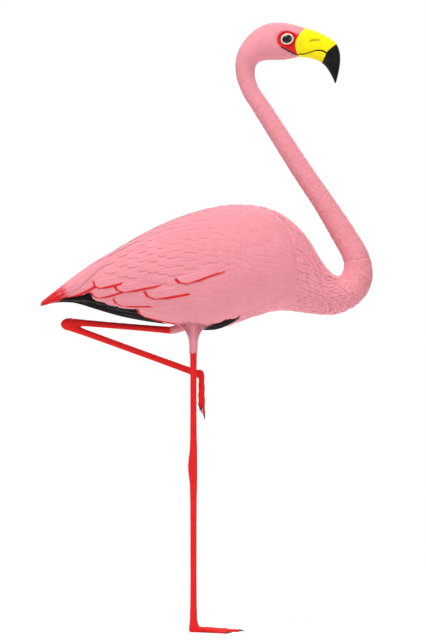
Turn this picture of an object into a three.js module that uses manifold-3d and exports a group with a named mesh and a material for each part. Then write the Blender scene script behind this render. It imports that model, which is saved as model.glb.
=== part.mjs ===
// A puna flamingo (James's flamingo), life size, resting on its right leg with the left one folded.
// Millimetres. +Z is up, +X is the way the bird faces, and its right side is at -Y.
// The origin is on the ground, at the middle of the standing foot's main pad.
//
// The plumage is one smooth tapering form from the tail tip over the back and round the S of the
// neck to the base of the bill. Each length of it is its own solid. The folded wings are shells
// laid on that form, and the legs are jointed limbs.
import * as THREE from 'three';
import { mergeVertices } from 'three/addons/utils/BufferGeometryUtils.js';
import Module from 'manifold-3d';

const wasm = await Module();
wasm.setup();

// ---------------------------------------------------------------- driving dimensions
const GAP = 0.3; // clearance between two pieces that meet
const DEGREE = Math.PI / 180;

// Sections through the plumage in flight order, tail to bill: where each meets the back (or nape)
// and the belly (or throat), as [x, z], and its half width.
const SECTIONS = [
  { name: 'tail tip', dorsal: [-230, 493], ventral: [-230, 489.5], half: 2.2 },
  { name: 'tail fan', dorsal: [-206, 511], ventral: [-208, 496], half: 10 },
  { name: 'tail base', dorsal: [-182, 529], ventral: [-184, 499], half: 17.5 },
  { name: 'vent', dorsal: [-155, 548], ventral: [-155, 491], half: 26.5 },
  { name: 'rump', dorsal: [-118, 571], ventral: [-118, 480], half: 38 },
  { name: 'loin', dorsal: [-73, 597], ventral: [-73, 470], half: 50 },
  { name: 'hips', dorsal: [-20, 622], ventral: [-20, 459], half: 58 },
  { name: 'back', dorsal: [32, 638], ventral: [32, 454], half: 62 },
  { name: 'shoulders', dorsal: [85, 641], ventral: [85, 471], half: 61 },
  { name: 'mantle', dorsal: [127, 630], ventral: [124, 482], half: 56 },
  { name: 'breast', dorsal: [164, 600], ventral: [158, 480], half: 47 },
  { name: 'neck root', dorsal: [187, 564], ventral: [187, 476], half: 38 },
  { name: 'crop', dorsal: [200, 542], ventral: [212, 476], half: 31 },
  { name: 'bend low', dorsal: [209, 534], ventral: [239, 486], half: 27 },
  { name: 'bend front', dorsal: [217, 532], ventral: [258, 503], half: 24.5 },
  { name: 'bend rise', dorsal: [223, 538], ventral: [268, 525], half: 22.5 },
  { name: 'neck foot', dorsal: [226, 549], ventral: [268, 549], half: 21 },
  { name: 'neck 1', dorsal: [223, 562], ventral: [262, 570], half: 19.5 },
  { name: 'neck 2', dorsal: [211, 584], ventral: [242, 604], half: 18 },
  { name: 'neck 3', dorsal: [183, 633], ventral: [210, 651], half: 16.5 },
  { name: 'neck 4', dorsal: [151, 682], ventral: [177, 698], half: 15.5 },
  { name: 'neck 5', dorsal: [121, 730], ventral: [145, 746], half: 14.5 },
  { name: 'neck 6', dorsal: [91, 779], ventral: [114, 793], half: 13.5 },
  { name: 'neck 7', dorsal: [74, 806], ventral: [97, 818], half: 13.2 },
  { name: 'nape low', dorsal: [66, 826], ventral: [92, 834], half: 13.8 },
  { name: 'nape', dorsal: [62.5, 848], ventral: [92.5, 846.5], half: 16.2 },
  { name: 'occiput', dorsal: [65.5, 868], ventral: [96.5, 853.5], half: 19.4 },
  { name: 'crown rear', dorsal: [77.5, 889], ventral: [104.5, 857], half: 22 },
  { name: 'crown', dorsal: [95.5, 905.5], ventral: [113.5, 858], half: 23.6 },
  { name: 'crown front', dorsal: [115.5, 913.5], ventral: [124.5, 858], half: 24 },
  { name: 'brow', dorsal: [135.5, 914], ventral: [137, 858.5], half: 22.9 },
  { name: 'forehead', dorsal: [152.5, 910.5], ventral: [148, 860.5], half: 19.8 },
  { name: 'bill base', dorsal: [168.1, 906.2], ventral: [157.1, 862.6], half: 16.3 },
];
const ROUNDNESS = 2.15; // exponent of the sections' superellipse: 2 is an ellipse

// The lengths that the plumage is divided into.
const LENGTHS = [
  { name: 'tail', from: 'tail tip', to: 'vent', steps: 2, around: 16 },
  { name: 'trunk', from: 'vent', to: 'neck root', steps: 1.3, around: 26 },
  { name: 'neck_base', from: 'neck root', to: 'neck 1', steps: 1.5, around: 18 },
  { name: 'neck_lower', from: 'neck 1', to: 'neck 4', steps: 2, around: 16 },
  { name: 'neck_middle', from: 'neck 4', to: 'neck 6', steps: 2, around: 16 },
  { name: 'neck_upper', from: 'neck 6', to: 'nape', steps: 2, around: 16 },
  { name: 'head', from: 'nape', to: 'bill base', steps: 1.5, around: 18 },
];

// The folded wing: angles are round a section, 0 at the back and 180 at the belly.
const WING = {
  front: 'mantle', // the bend of the wing reaches a little past this section
  frontReach: 0.75, // of the way to the next section
  meetsTertials: 'rump',
  upperEdge: 17, // degrees, where the mantle shows between the two wings
  lowerEdge: 144,
  bendAngle: 92, // height of the bend of the wing
  noseLength: 2.1, // sections over which the rounded front end closes
  noseShare: 0.3, // thickness at the rounded front end, of the full one
  openLength: 3, // sections from the loin over which the two wings draw apart
  rear: 0.02, // sections ahead of the tail's tip
  thickness: 9,
  tipThickness: 3.2,
  edgeShare: 0.36, // thickness at the upper and lower edges, of the full one
};
// The black quills below the wing's lower edge, and the few that show ahead of the thigh. Each
// shift is in sections, forwards from the section named before it.
const QUILLS = {
  rear: 'tail tip',
  rearShift: 0.12,
  front: 'hips',
  frontShift: -0.3,
  upper: 140,
  lower: 173,
  thickness: 4.6,
  tipThickness: 1.4,
  taper: 3, // sections from the tip to the full thickness
};
const SECONDARIES = {
  rear: 'back',
  rearShift: -0.45,
  front: 'shoulders',
  upper: 145.5,
  lower: 159,
  frontWidth: 1.5, // degrees that are left of the streak at its front end
  thickness: 3,
};
const SHELL_ROOT = 3; // greatest depth of a shell's foot inside the form, before that is cut away

// The head's own frame for the bill and eyes: x forward and z up from the middle of the skull.
const HEAD = { x: 119, z: 886.5 };
const EYE = { x: 21, z: 1.5, side: 14, radius: 11.5 };
// Sections through the bill, forehead to tip: culmen and keel as [x, z] in the head's frame.
const BILL_SECTIONS = [
  { culmen: [49.5, 19.5], keel: [38.5, -23.7], half: 15.9 },
  { culmen: [59, 17], keel: [46.5, -24.6], half: 15.3 },
  { culmen: [69.5, 13], keel: [55.5, -25.7], half: 14.7 },
  { culmen: [79.5, 8], keel: [62.5, -27.5], half: 14.2 },
  { culmen: [88.5, 2.5], keel: [68.5, -29.8], half: 13.8 },
  { culmen: [95, -4], keel: [73.2, -32.7], half: 13.1 },
  { culmen: [99, -12], keel: [77.5, -36.4], half: 12.2 },
  { culmen: [101, -21.5], keel: [81.4, -40.9], half: 10.9 },
  { culmen: [101, -32], keel: [84.8, -46.1], half: 9 },
  { culmen: [99.6, -42.5], keel: [88, -51.8], half: 6.7 },
  { culmen: [97.2, -53.3], keel: [91, -58], half: 4.3 },
  { culmen: [95.2, -61.6], keel: [93.2, -63.6], half: 1.9 },
];
const BILL_ROUNDNESS = 2.3;
// Where the two halves of the bill part, in the head's frame, from the corner of the mouth.
const GAPE = [
  [31.5, -21.5], [39, -20.5], [47, -20], [56, -17.5], [65, -15], [74, -15.5], [82, -20.5],
  [87.5, -29], [90.7, -39], [92.4, -49.5], [92.4, -57], [89.5, -67],
];

// The legs. Each section has two half sizes: fore and aft, and sideways.
const HIP_SIDE = 20; // of the legs from the middle of the body
const LEG = { shaft: 4.7, shaftSide: 4.2, knob: 6.9, knobSide: 6.6, jointSwell: 0.8 };
const STANDING = { thighTop: 480, thighEnd: 428, hockTop: 276, hockBottom: 220, ankle: 19 };
const HOCK_SET_BACK = 1.2; // of the knob's middle from the line of the standing leg
// The thighs' feathers stand off the shaft at the lower end and flare into the belly.
const STANDING_THIGH = { coat: 1.6, flareHeight: 42, deep: 25, wide: 15, power: 2.6 };
const THIGH_HEIGHTS = [0, 4, 9, 15, 22, 30, 38, 46]; // of its sections above the lower end
const FOLDED_THIGH = { coat: 0.9, coatSide: 1.2, deep: 10, wide: 12, power: 1.8 };
const FOLDED = {
  thigh: [[12, 22, 476], [-2, 22, 466], [-16, 22, 458], [-34, 22, 452.5]],
  hock: [-187, 19.5, 461.5],
  hockSize: [13, 7.6, 9.6], // half length, width and height
  shankInHock: [4, 0, 3.6], // where the shank's axis ends inside the hock, from its middle
  tarsusStart: [-176, 19, 453.5],
  tarsusInHock: [-8, 0.5, 3], // how much further its axis runs inside the hock
  tarsusEnd: [5, 8, 388],
};
// The standing foot's ankle below the shaft, and the webs folded up in the lifted foot.
const ANKLE = [
  { at: [0.2, -0.5, 13], deep: 6.4, wide: 6 },
  { at: [0.8, -0.2, 8], deep: 7.6, wide: 7.2 },
  { at: [1, 0, 3], deep: 7.8, wide: 7.6 },
  { at: [1, 0, -2], deep: 6.2, wide: 6.2 },
];
const PALM = { centre: [9, 7.2, 387], half: [6.8, 7, 6.6] };
const FOLDED_WEBS = [
  { at: [12, 7, 383], deep: 4, wide: 5 },
  { at: [11.6, 6.8, 366], deep: 3, wide: 4.6 },
  { at: [11.6, 6.6, 350], deep: 1.6, wide: 3.8 },
  { at: [11.8, 6.5, 342], deep: 0.8, wide: 3 },
];
const TOES = [
  { name: 'inner', angle: 33, length: 55, root: 4.4, tip: 2.3 },
  { name: 'middle', angle: 0, length: 68, root: 4.9, tip: 2.5 },
  { name: 'outer', angle: -33, length: 60, root: 4.4, tip: 2.3 },
];
const HANGING_TOES = [
  { name: 'inner', start: [11, 3.6, 384], end: [9, 2.6, 340] },
  { name: 'middle', start: [13, 7, 384], end: [15.5, 6, 327] },
  { name: 'outer', start: [11, 10.4, 384], end: [11, 10.6, 336] },
];
const HANGING_TOE = { root: 3.6, tip: 2.2, flat: 0.95 };
const KNUCKLES = 3; // on each toe
const TOE_TIP_HEIGHT = 0.72; // of the toe's axis at its tip, for each millimetre of its radius
const CLAW = { length: 9, inToe: 1, root: 0.8, rootHeight: 0.95, tip: 0.7, tipHeight: 1.05, bow: 0.8 };
const HANGING_CLAW = { root: 1.8, tip: 0.6, hook: 1.2 };
// The web's front edge meets the toes at reach and is drawn back to bay, as shares of their length.
const WEB = { thickness: 1.8, height: 1.1, reach: 0.88, bay: 0.66 };
// Blocks larger than the object, which cut it at the ground and along the mouth.
const GROUND_BLOCK = 400;
const MOUTH_BLOCK = { ahead: 200, above: 100, width: 80 };

// ---------------------------------------------------------------- materials
const finish = (color, roughness) => new THREE.MeshStandardMaterial({ color, roughness, metalness: 0 });
const MATERIALS = {
  plumage: finish('#f0a0aa', 0.85),
  crimson: finish('#cf2424', 0.75),
  quills: finish('#111012', 0.6),
  legs: finish('#d82a26', 0.5),
  billYellow: finish('#f4d90c', 0.35),
  eye: finish('#0b0a0a', 0.1),
  claw: finish('#1b1414', 0.4),
};

// ---------------------------------------------------------------- solids
// The closed geometry as a manifold-3d solid, turned to face outwards if it doesn't.
function solidOf(geometry) {
  const bare = geometry.clone();
  bare.deleteAttribute('normal');
  bare.deleteAttribute('uv');
  const merged = mergeVertices(bare, 1e-4);
  const build = (triangles) =>
    new wasm.Manifold(
      new wasm.Mesh({
        numProp: 3,
        vertProperties: new Float32Array(merged.attributes.position.array),
        triVerts: triangles,
      }),
    );
  const triangles = new Uint32Array(merged.index.array);
  const solid = build(triangles);
  if (solid.volume() > 0) return solid;
  for (let i = 0; i < triangles.length; i += 3) {
    [triangles[i + 1], triangles[i + 2]] = [triangles[i + 2], triangles[i + 1]];
  }
  return build(triangles);
}

function geometryOf(solid) {
  const mesh = solid.getMesh();
  const points = new Float32Array(mesh.numVert * 3);
  for (let i = 0; i < mesh.numVert; i++) {
    points.set(mesh.vertProperties.subarray(i * mesh.numProp, i * mesh.numProp + 3), i * 3);
  }
  const geometry = new THREE.BufferGeometry();
  geometry.setAttribute('position', new THREE.BufferAttribute(points, 3));
  geometry.setIndex(new THREE.BufferAttribute(new Uint32Array(mesh.triVerts), 1));
  geometry.computeVertexNormals();
  return geometry;
}

const largestPiece = (solid) => solid.decompose().sort((a, b) => b.volume() - a.volume())[0];
const without = (solid, ...others) => others.reduce((left, other) => left.subtract(other), solid);
const joined = (...solids) => solids.reduce((sum, solid) => sum.add(solid));

// A closed geometry from a list of points and a list of faces, each of three or four corners.
function facetedGeometry(points, faces) {
  const geometry = new THREE.BufferGeometry().setFromPoints(points);
  geometry.setIndex(faces.flatMap((f) => (f.length === 3 ? f : [f[0], f[1], f[2], f[0], f[2], f[3]])));
  return geometry;
}

// A solid through a row of equal rings of points, with a fan over each end.
function loft(rings) {
  const around = rings[0].length;
  const points = rings.flat();
  const faces = [];
  for (let i = 0; i + 1 < rings.length; i++) {
    for (let j = 0; j < around; j++) {
      const next = (j + 1) % around;
      faces.push([i * around + j, i * around + next, (i + 1) * around + next, (i + 1) * around + j]);
    }
  }
  for (const [ring, start] of [[rings[0], 0], [rings.at(-1), (rings.length - 1) * around]]) {
    const centre = points.length;
    points.push(ring.reduce((sum, p) => sum.add(p), new THREE.Vector3()).divideScalar(around));
    for (let j = 0; j < around; j++) {
      const next = (j + 1) % around;
      faces.push(start === 0 ? [centre, start + next, start + j] : [centre, start + j, start + next]);
    }
  }
  return solidOf(facetedGeometry(points, faces));
}

// A ring round centre: up and side are half axes, and exponent 2 makes it an ellipse.
function ring(centre, up, side, around, exponent = 2) {
  const power = 2 / exponent;
  return Array.from({ length: around }, (_, k) => {
    const angle = (2 * Math.PI * k) / around;
    const along = Math.sign(Math.cos(angle)) * Math.abs(Math.cos(angle)) ** power;
    const across = Math.sign(Math.sin(angle)) * Math.abs(Math.sin(angle)) ** power;
    return centre.clone().addScaledVector(up, along).addScaledVector(side, across);
  });
}

// A limb through stations { at: [x, y, z], deep, wide }: wide lies along side, deep across it.
function limb(stations, { side = new THREE.Vector3(0, 1, 0), around = 12, grow = 0 } = {}) {
  const centres = stations.map((s) => new THREE.Vector3(...s.at));
  return loft(
    stations.map((station, i) => {
      const before = centres[Math.max(i - 1, 0)];
      const after = centres[Math.min(i + 1, centres.length - 1)];
      const along = after.clone().sub(before).normalize();
      const across = side.clone().addScaledVector(along, -side.dot(along)).normalize();
      const deep = new THREE.Vector3().crossVectors(across, along);
      return ring(
        centres[i],
        deep.multiplyScalar(station.deep + grow),
        across.multiplyScalar(station.wide + grow),
        around,
      );
    }),
  );
}

const ellipsoid = (centre, half, grow = 0) => {
  const ball = new THREE.SphereGeometry(1, 14, 9);
  ball.scale(half[0] + grow, half[1] + grow, half[2] + grow);
  ball.translate(...centre);
  return solidOf(ball);
};

const clamp01 = (value) => Math.min(Math.max(value, 0), 1);
const mix = (a, b, share) => a + (b - a) * share;
// 0 at the start, 1 at the end and level at both.
const ease = (share) => clamp01(share) ** 2 * (3 - 2 * clamp01(share));

// ---------------------------------------------------------------- the plumage's form
const sectionAt = (name) => SECTIONS.findIndex((s) => s.name === name);
const lastSection = SECTIONS.length - 1;
const dorsalLine = new THREE.CatmullRomCurve3(
  SECTIONS.map((s) => new THREE.Vector3(s.dorsal[0], s.half, s.dorsal[1])),
);
const ventralLine = new THREE.CatmullRomCurve3(
  SECTIONS.map((s) => new THREE.Vector3(s.ventral[0], s.half, s.ventral[1])),
);

// The section at a position counted in sections, such as 2.5, grown all round by some millimetres.
function sectionFrame(position, grow = 0) {
  const top = dorsalLine.getPoint(position / lastSection);
  const bottom = ventralLine.getPoint(position / lastSection);
  const half = (top.y + bottom.y) / 2;
  top.y = bottom.y = 0;
  const centre = top.clone().add(bottom).divideScalar(2);
  const up = top.sub(bottom).divideScalar(2);
  up.setLength(up.length() + grow);
  return { centre, up, half: half + grow };
}

// A point on the form: angle is 0 at the back, 90 at the side and 180 degrees at the belly.
function plumagePoint(position, angle, side, grow = 0) {
  const { centre, up, half } = sectionFrame(position, grow);
  const c = Math.cos(angle * DEGREE);
  const along = Math.sign(c) * Math.abs(c) ** (2 / ROUNDNESS);
  const across = Math.abs(Math.sin(angle * DEGREE)) ** (2 / ROUNDNESS);
  return centre.addScaledVector(up, along).add(new THREE.Vector3(0, side * half * across, 0));
}

function plumageLength(from, to, steps, around, grow = 0) {
  const count = Math.round((to - from) * steps);
  return loft(
    Array.from({ length: count + 1 }, (_, i) => {
      const { centre, up, half } = sectionFrame(mix(from, to, i / count), grow);
      return ring(centre, up, new THREE.Vector3(0, half, 0), around, ROUNDNESS);
    }),
  );
}

// Two lengths that meet leave half the gap each.
const shareOfGap = (position) => {
  const here = sectionFrame(position).centre;
  const near = sectionFrame(position + 0.1).centre;
  return (0.1 * GAP) / 2 / here.distanceTo(near);
};

const lengths = {};
LENGTHS.forEach(({ name, from, to, steps, around }, i) => {
  const start = sectionAt(from) + (i > 0 ? shareOfGap(sectionAt(from)) : 0);
  const end = sectionAt(to) - (i + 1 < LENGTHS.length ? shareOfGap(sectionAt(to) - 0.1) : 0);
  lengths[name] = plumageLength(start, end, steps, around);
});
// The tail and trunk a gap's width larger, for cutting what is laid on them.
const bodyCutter = joined(
  ...LENGTHS.slice(0, 2).map(({ from, to, steps, around }) =>
    plumageLength(sectionAt(from), sectionAt(to) + 0.01, steps, around, GAP),
  ),
);

// A shell laid on the form, between two positions and two angles that may change with position.
// lift gives its thickness at a position and a share of the way from the upper to the lower edge.
// grow thickens it all round, and takes each edge two degrees further for every millimetre.
function shell({ from, to, upper, lower, lift, side, rows, columns, grow = 0 }) {
  const points = [];
  for (let i = 0; i <= rows; i++) {
    const position = mix(from, to, i / rows);
    const { up, half } = sectionFrame(position);
    const sink = Math.min(SHELL_ROOT, 0.4 * half, 0.4 * up.length());
    for (let j = 0; j <= columns; j++) {
      const share = j / columns;
      const margin = 2 * grow * (2 * share - 1);
      const angle = mix(upper(position), lower(position), share) + margin;
      points.push(plumagePoint(position, angle, side, lift(position, share) + grow));
      points.push(plumagePoint(position, angle, side, -sink));
    }
  }
  const outer = (i, j) => 2 * (i * (columns + 1) + j);
  const inner = (i, j) => outer(i, j) + 1;
  const faces = [];
  for (let i = 0; i < rows; i++) {
    for (let j = 0; j < columns; j++) {
      faces.push([outer(i, j), outer(i, j + 1), outer(i + 1, j + 1), outer(i + 1, j)]);
      faces.push([inner(i, j), inner(i + 1, j), inner(i + 1, j + 1), inner(i, j + 1)]);
    }
    faces.push([outer(i, 0), outer(i + 1, 0), inner(i + 1, 0), inner(i, 0)]);
    faces.push([outer(i, columns), inner(i, columns), inner(i + 1, columns), outer(i + 1, columns)]);
  }
  for (let j = 0; j < columns; j++) {
    faces.push([outer(0, j), inner(0, j), inner(0, j + 1), outer(0, j + 1)]);
    faces.push([outer(rows, j), outer(rows, j + 1), inner(rows, j + 1), inner(rows, j)]);
  }
  return solidOf(facetedGeometry(points, faces));
}

// ---------------------------------------------------------------- wings
const wingFront = sectionAt(WING.front) + WING.frontReach;
const wingJoin = sectionAt(WING.meetsTertials);
// 1 over most of the wing, falling like a quarter circle to the rounded bend at its front.
const frontRound = (position) => {
  const share = clamp01((position - (wingFront - WING.noseLength)) / WING.noseLength);
  return Math.sqrt(Math.max(1 - share ** 2, 0.03));
};
// Behind the back the two wings meet, with a gap between them along the middle.
const wingUpper = (position) => {
  const closed = Math.asin(Math.min((1.4 * GAP) / sectionFrame(position).half, 1)) / DEGREE;
  const open = mix(closed, WING.upperEdge, ease((position - sectionAt('loin')) / WING.openLength));
  return mix(WING.bendAngle, open, frontRound(position));
};
const wingLower = (position) => mix(WING.bendAngle, WING.lowerEdge, frontRound(position));
const wingLift = (position, share) => {
  const full = mix(WING.tipThickness, WING.thickness, ease(position / sectionAt('loin')));
  const fullness = mix(WING.edgeShare, 1, Math.sin(Math.PI * share) ** 0.7);
  return full * fullness * mix(WING.noseShare, 1, frontRound(position));
};

const wingShell = (side, grow = 0) =>
  shell({
    from: wingJoin,
    to: wingFront,
    upper: wingUpper,
    lower: wingLower,
    lift: wingLift,
    side,
    rows: 10,
    columns: 7,
    grow,
  });
const tertialShell = (side, grow = 0) =>
  shell({
    from: WING.rear,
    to: wingJoin - 2 * shareOfGap(wingJoin),
    upper: wingUpper,
    lower: wingLower,
    lift: wingLift,
    side,
    rows: 4,
    columns: 5,
    grow,
  });
const quillShell = (side) =>
  shell({
    from: sectionAt(QUILLS.rear) + QUILLS.rearShift,
    to: sectionAt(QUILLS.front) + QUILLS.frontShift,
    upper: () => QUILLS.upper,
    lower: () => QUILLS.lower,
    lift: (position) => mix(QUILLS.tipThickness, QUILLS.thickness, ease(position / QUILLS.taper)),
    side,
    rows: 7,
    columns: 2,
  });
const secondaryLower = (position) => {
  const rear = sectionAt(SECONDARIES.rear);
  const share = (position - rear) / (sectionAt(SECONDARIES.front) - rear);
  return mix(SECONDARIES.lower, SECONDARIES.upper + SECONDARIES.frontWidth, ease(share));
};
const secondaryShell = (side) =>
  shell({
    from: sectionAt(SECONDARIES.rear) + SECONDARIES.rearShift,
    to: sectionAt(SECONDARIES.front),
    upper: () => SECONDARIES.upper,
    lower: secondaryLower,
    lift: () => SECONDARIES.thickness,
    side,
    rows: 4,
    columns: 2,
  });

// ---------------------------------------------------------------- legs
// The standing leg leans in from the hip, so that the foot is under the middle of the body.
const standingPoint = (z) => [0, (-HIP_SIDE * z) / STANDING.thighTop, z];

// Half size of the standing thigh at a height above its lower end.
function thighFlare(height, full) {
  const { coat, flareHeight, power } = STANDING_THIGH;
  return LEG.shaft + coat + full * (height / flareHeight) ** power;
}

function standingThigh(grow = 0) {
  return limb(
    THIGH_HEIGHTS.map((height) => ({
      at: standingPoint(STANDING.thighEnd + height),
      deep: thighFlare(height, STANDING_THIGH.deep),
      wide: thighFlare(height, STANDING_THIGH.wide),
    })),
    { around: 16, grow },
  );
}

function foldedThigh(grow = 0) {
  const path = new THREE.CatmullRomCurve3(FOLDED.thigh.map((p) => new THREE.Vector3(...p)));
  const steps = 7;
  return limb(
    Array.from({ length: steps + 1 }, (_, i) => {
      const share = i / steps;
      const flare = (1 - share) ** FOLDED_THIGH.power;
      return {
        at: path.getPoint(share).toArray(),
        deep: LEG.shaft + FOLDED_THIGH.coat + FOLDED_THIGH.deep * flare,
        wide: LEG.shaftSide + FOLDED_THIGH.coatSide + FOLDED_THIGH.wide * flare,
      };
    }),
    { around: 16, grow },
  );
}

// A bare shaft between two points, a little waisted.
function shaft(start, end) {
  const shares = [0, 0.12, 0.35, 0.65, 0.88, 1];
  return limb(
    shares.map((share) => {
      const swell = LEG.jointSwell * (2 * share - 1) ** 4;
      return {
        at: start.map((value, axis) => mix(value, end[axis], share)),
        deep: LEG.shaft + swell,
        wide: LEG.shaftSide + swell,
      };
    }),
  );
}

function standingHock() {
  const half = (STANDING.hockTop - STANDING.hockBottom) / 2;
  return limb(
    [-1, -0.7, -0.4, -0.12, 0.15, 0.45, 0.75, 1].map((share) => {
      const swell = Math.cos((share * Math.PI) / 2) ** 1.6;
      const z = STANDING.hockBottom + half * (1 + share);
      const [x, y] = standingPoint(z);
      return {
        at: [x - HOCK_SET_BACK * swell, y, z],
        deep: mix(LEG.shaft + LEG.jointSwell, LEG.knob, swell),
        wide: mix(LEG.shaftSide + LEG.jointSwell, LEG.knobSide, swell),
      };
    }),
  );
}

// A toe or claw from start to end: knuckles swell it, and bow lifts the middle.
function digit(start, end, { root, tip, knuckles = 0, bow = 0, around = 8, side, flat = 0.86, grow = 0 }) {
  const steps = knuckles ? knuckles * 2 : 4;
  return limb(
    Array.from({ length: steps + 1 }, (_, i) => {
      const share = i / steps;
      const bulge = knuckles ? 0.45 * Math.cos(2 * Math.PI * knuckles * share) : 0;
      const radius = mix(root, tip, share) + bulge;
      const at = start.map((value, axis) => mix(value, end[axis], share));
      at[2] += bow * Math.sin(Math.PI * share);
      return { at, deep: radius * flat, wide: radius };
    }),
    { side, around, grow },
  );
}

const aboveGround = (() => {
  const block = new THREE.BoxGeometry(GROUND_BLOCK, GROUND_BLOCK, GROUND_BLOCK);
  block.translate(0, 0, GROUND_BLOCK / 2);
  return solidOf(block);
})();

// A toe's heading in the ground plane, and the direction across it.
const heading = (angle) => new THREE.Vector3(Math.cos(angle * DEGREE), Math.sin(angle * DEGREE), 0);
const acrossHeading = (angle) => new THREE.Vector3(-Math.sin(angle * DEGREE), Math.cos(angle * DEGREE), 0);

function standingToe({ angle, length, root, tip }) {
  const end = heading(angle).multiplyScalar(length);
  return digit([0, 0, root], [end.x, end.y, tip * TOE_TIP_HEIGHT], {
    root,
    tip,
    knuckles: KNUCKLES,
    side: acrossHeading(angle),
  });
}

function standingClaw({ angle, length, tip }, grow = 0) {
  const start = heading(angle).multiplyScalar(length - CLAW.inToe);
  const end = heading(angle).multiplyScalar(length + CLAW.length);
  return digit([start.x, start.y, tip * CLAW.rootHeight], [end.x, end.y, CLAW.tipHeight], {
    root: tip * CLAW.root,
    tip: CLAW.tip,
    bow: CLAW.bow,
    side: acrossHeading(angle),
    flat: 0.8,
    grow,
  });
}

// The skin between two toes: its front edge is drawn back in a curve.
function web(first, second) {
  const outline = new THREE.Shape();
  const a = heading(first.angle).multiplyScalar(first.length * WEB.reach);
  const b = heading(second.angle).multiplyScalar(second.length * WEB.reach);
  const shorter = Math.min(first.length, second.length);
  const middle = heading((first.angle + second.angle) / 2).multiplyScalar(WEB.bay * shorter);
  outline.moveTo(0, 0);
  outline.lineTo(a.x, a.y);
  outline.quadraticCurveTo(middle.x, middle.y, b.x, b.y);
  outline.closePath();
  const settings = { depth: WEB.thickness, bevelEnabled: false, curveSegments: 6 };
  const sheet = new THREE.ExtrudeGeometry(outline, settings);
  sheet.translate(0, 0, WEB.height);
  return solidOf(sheet);
}

function standingFoot() {
  const shaftEnd = {
    at: standingPoint(STANDING.ankle),
    deep: LEG.shaft + LEG.jointSwell,
    wide: LEG.shaftSide + LEG.jointSwell,
  };
  const ankle = limb([shaftEnd, ...ANKLE]);
  const toes = TOES.map(standingToe);
  const webs = [web(TOES[0], TOES[1]), web(TOES[1], TOES[2])];
  return joined(ankle, ...toes, ...webs).intersect(aboveGround);
}

// The lifted foot hangs loosely, its toes together and the webs folded between them.
function hangingToe({ start, end }) {
  return digit(start, end, { ...HANGING_TOE, knuckles: KNUCKLES, around: 7 });
}

function hangingClaw({ start, end }, grow = 0) {
  const along = new THREE.Vector3(...end).sub(new THREE.Vector3(...start)).normalize();
  const from = new THREE.Vector3(...end).addScaledVector(along, -CLAW.inToe);
  const to = new THREE.Vector3(...end).addScaledVector(along, CLAW.length);
  const { root, tip, hook } = HANGING_CLAW;
  return digit(from.toArray(), [to.x + hook, to.y, to.z], { root, tip, grow });
}

function hangingFoot() {
  const palm = ellipsoid(PALM.centre, PALM.half);
  return joined(palm, limb(FOLDED_WEBS, { around: 8 }), ...HANGING_TOES.map(hangingToe));
}

// ---------------------------------------------------------------- head
const inHead = ([x, z], y = 0) => new THREE.Vector3(HEAD.x + x, y, HEAD.z + z);

function bill() {
  return loft(
    BILL_SECTIONS.map(({ culmen, keel, half }) => {
      const top = inHead(culmen);
      const bottom = inHead(keel);
      const centre = top.clone().add(bottom).divideScalar(2);
      const up = top.sub(bottom).divideScalar(2);
      return ring(centre, up, new THREE.Vector3(0, half, 0), 16, BILL_ROUNDNESS);
    }),
  );
}

// Everything above the line of the mouth, moved down across that line by offset.
function aboveGape(offset) {
  const line = new THREE.SplineCurve(GAPE.map(([x, z]) => new THREE.Vector2(HEAD.x + x, HEAD.z + z)));
  const steps = 14;
  const edge = Array.from({ length: steps + 1 }, (_, i) => {
    const along = line.getTangent(i / steps);
    return line.getPoint(i / steps).add(new THREE.Vector2(along.y, -along.x).multiplyScalar(offset));
  });
  const outline = new THREE.Shape(edge);
  const { ahead, above, width } = MOUTH_BLOCK;
  outline.lineTo(HEAD.x + ahead, edge.at(-1).y);
  outline.lineTo(HEAD.x + ahead, HEAD.z + above);
  outline.lineTo(edge[0].x, HEAD.z + above);
  const slab = new THREE.ExtrudeGeometry(outline, { depth: width, bevelEnabled: false });
  slab.rotateX(Math.PI / 2);
  slab.translate(0, width / 2, 0);
  return solidOf(slab);
}

function eye(side, grow = 0) {
  const ball = new THREE.SphereGeometry(EYE.radius + grow, 12, 8);
  ball.translate(HEAD.x + EYE.x, side * EYE.side, HEAD.z + EYE.z);
  return solidOf(ball);
}

// ---------------------------------------------------------------- assembly
const RIGHT = -1;
const LEFT = 1;
const flamingo = new THREE.Group();

function addPart(name, solid, material) {
  const mesh = new THREE.Mesh(geometryOf(largestPiece(solid)), material);
  mesh.name = name;
  flamingo.add(mesh);
}

const thighCutters = [standingThigh(GAP), foldedThigh(GAP)];
for (const [name, solid] of Object.entries(lengths)) {
  const cutters = name === 'head' ? [eye(RIGHT, GAP), eye(LEFT, GAP)] : [];
  addPart(name, without(solid, ...cutters), MATERIALS.plumage);
}

for (const [word, side] of [['right', RIGHT], ['left', LEFT]]) {
  const cutters = [bodyCutter, wingShell(side, GAP), tertialShell(side, GAP), ...thighCutters];
  addPart(`wing_${word}`, without(wingShell(side), bodyCutter), MATERIALS.plumage);
  addPart(`tertials_${word}`, without(tertialShell(side), bodyCutter), MATERIALS.crimson);
  addPart(`quills_${word}`, without(quillShell(side), ...cutters), MATERIALS.quills);
  addPart(`secondaries_${word}`, without(secondaryShell(side), ...cutters), MATERIALS.quills);
  addPart(`eye_${word}`, eye(side), MATERIALS.eye);
}

const wholeBill = bill();
addPart('bill_upper', wholeBill.intersect(aboveGape(-GAP / 2)), MATERIALS.billYellow);
addPart('bill_lower', wholeBill.subtract(aboveGape(GAP / 2)), MATERIALS.billYellow);

// Thighs are cut by the wings that lie over their tops.
const wingsOver = [RIGHT, LEFT].map((side) => wingShell(side, GAP));
addPart('thigh_right', without(standingThigh(), bodyCutter, ...wingsOver), MATERIALS.plumage);
addPart('thigh_left', without(foldedThigh(), bodyCutter, ...wingsOver, thighCutters[0]), MATERIALS.plumage);

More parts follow.
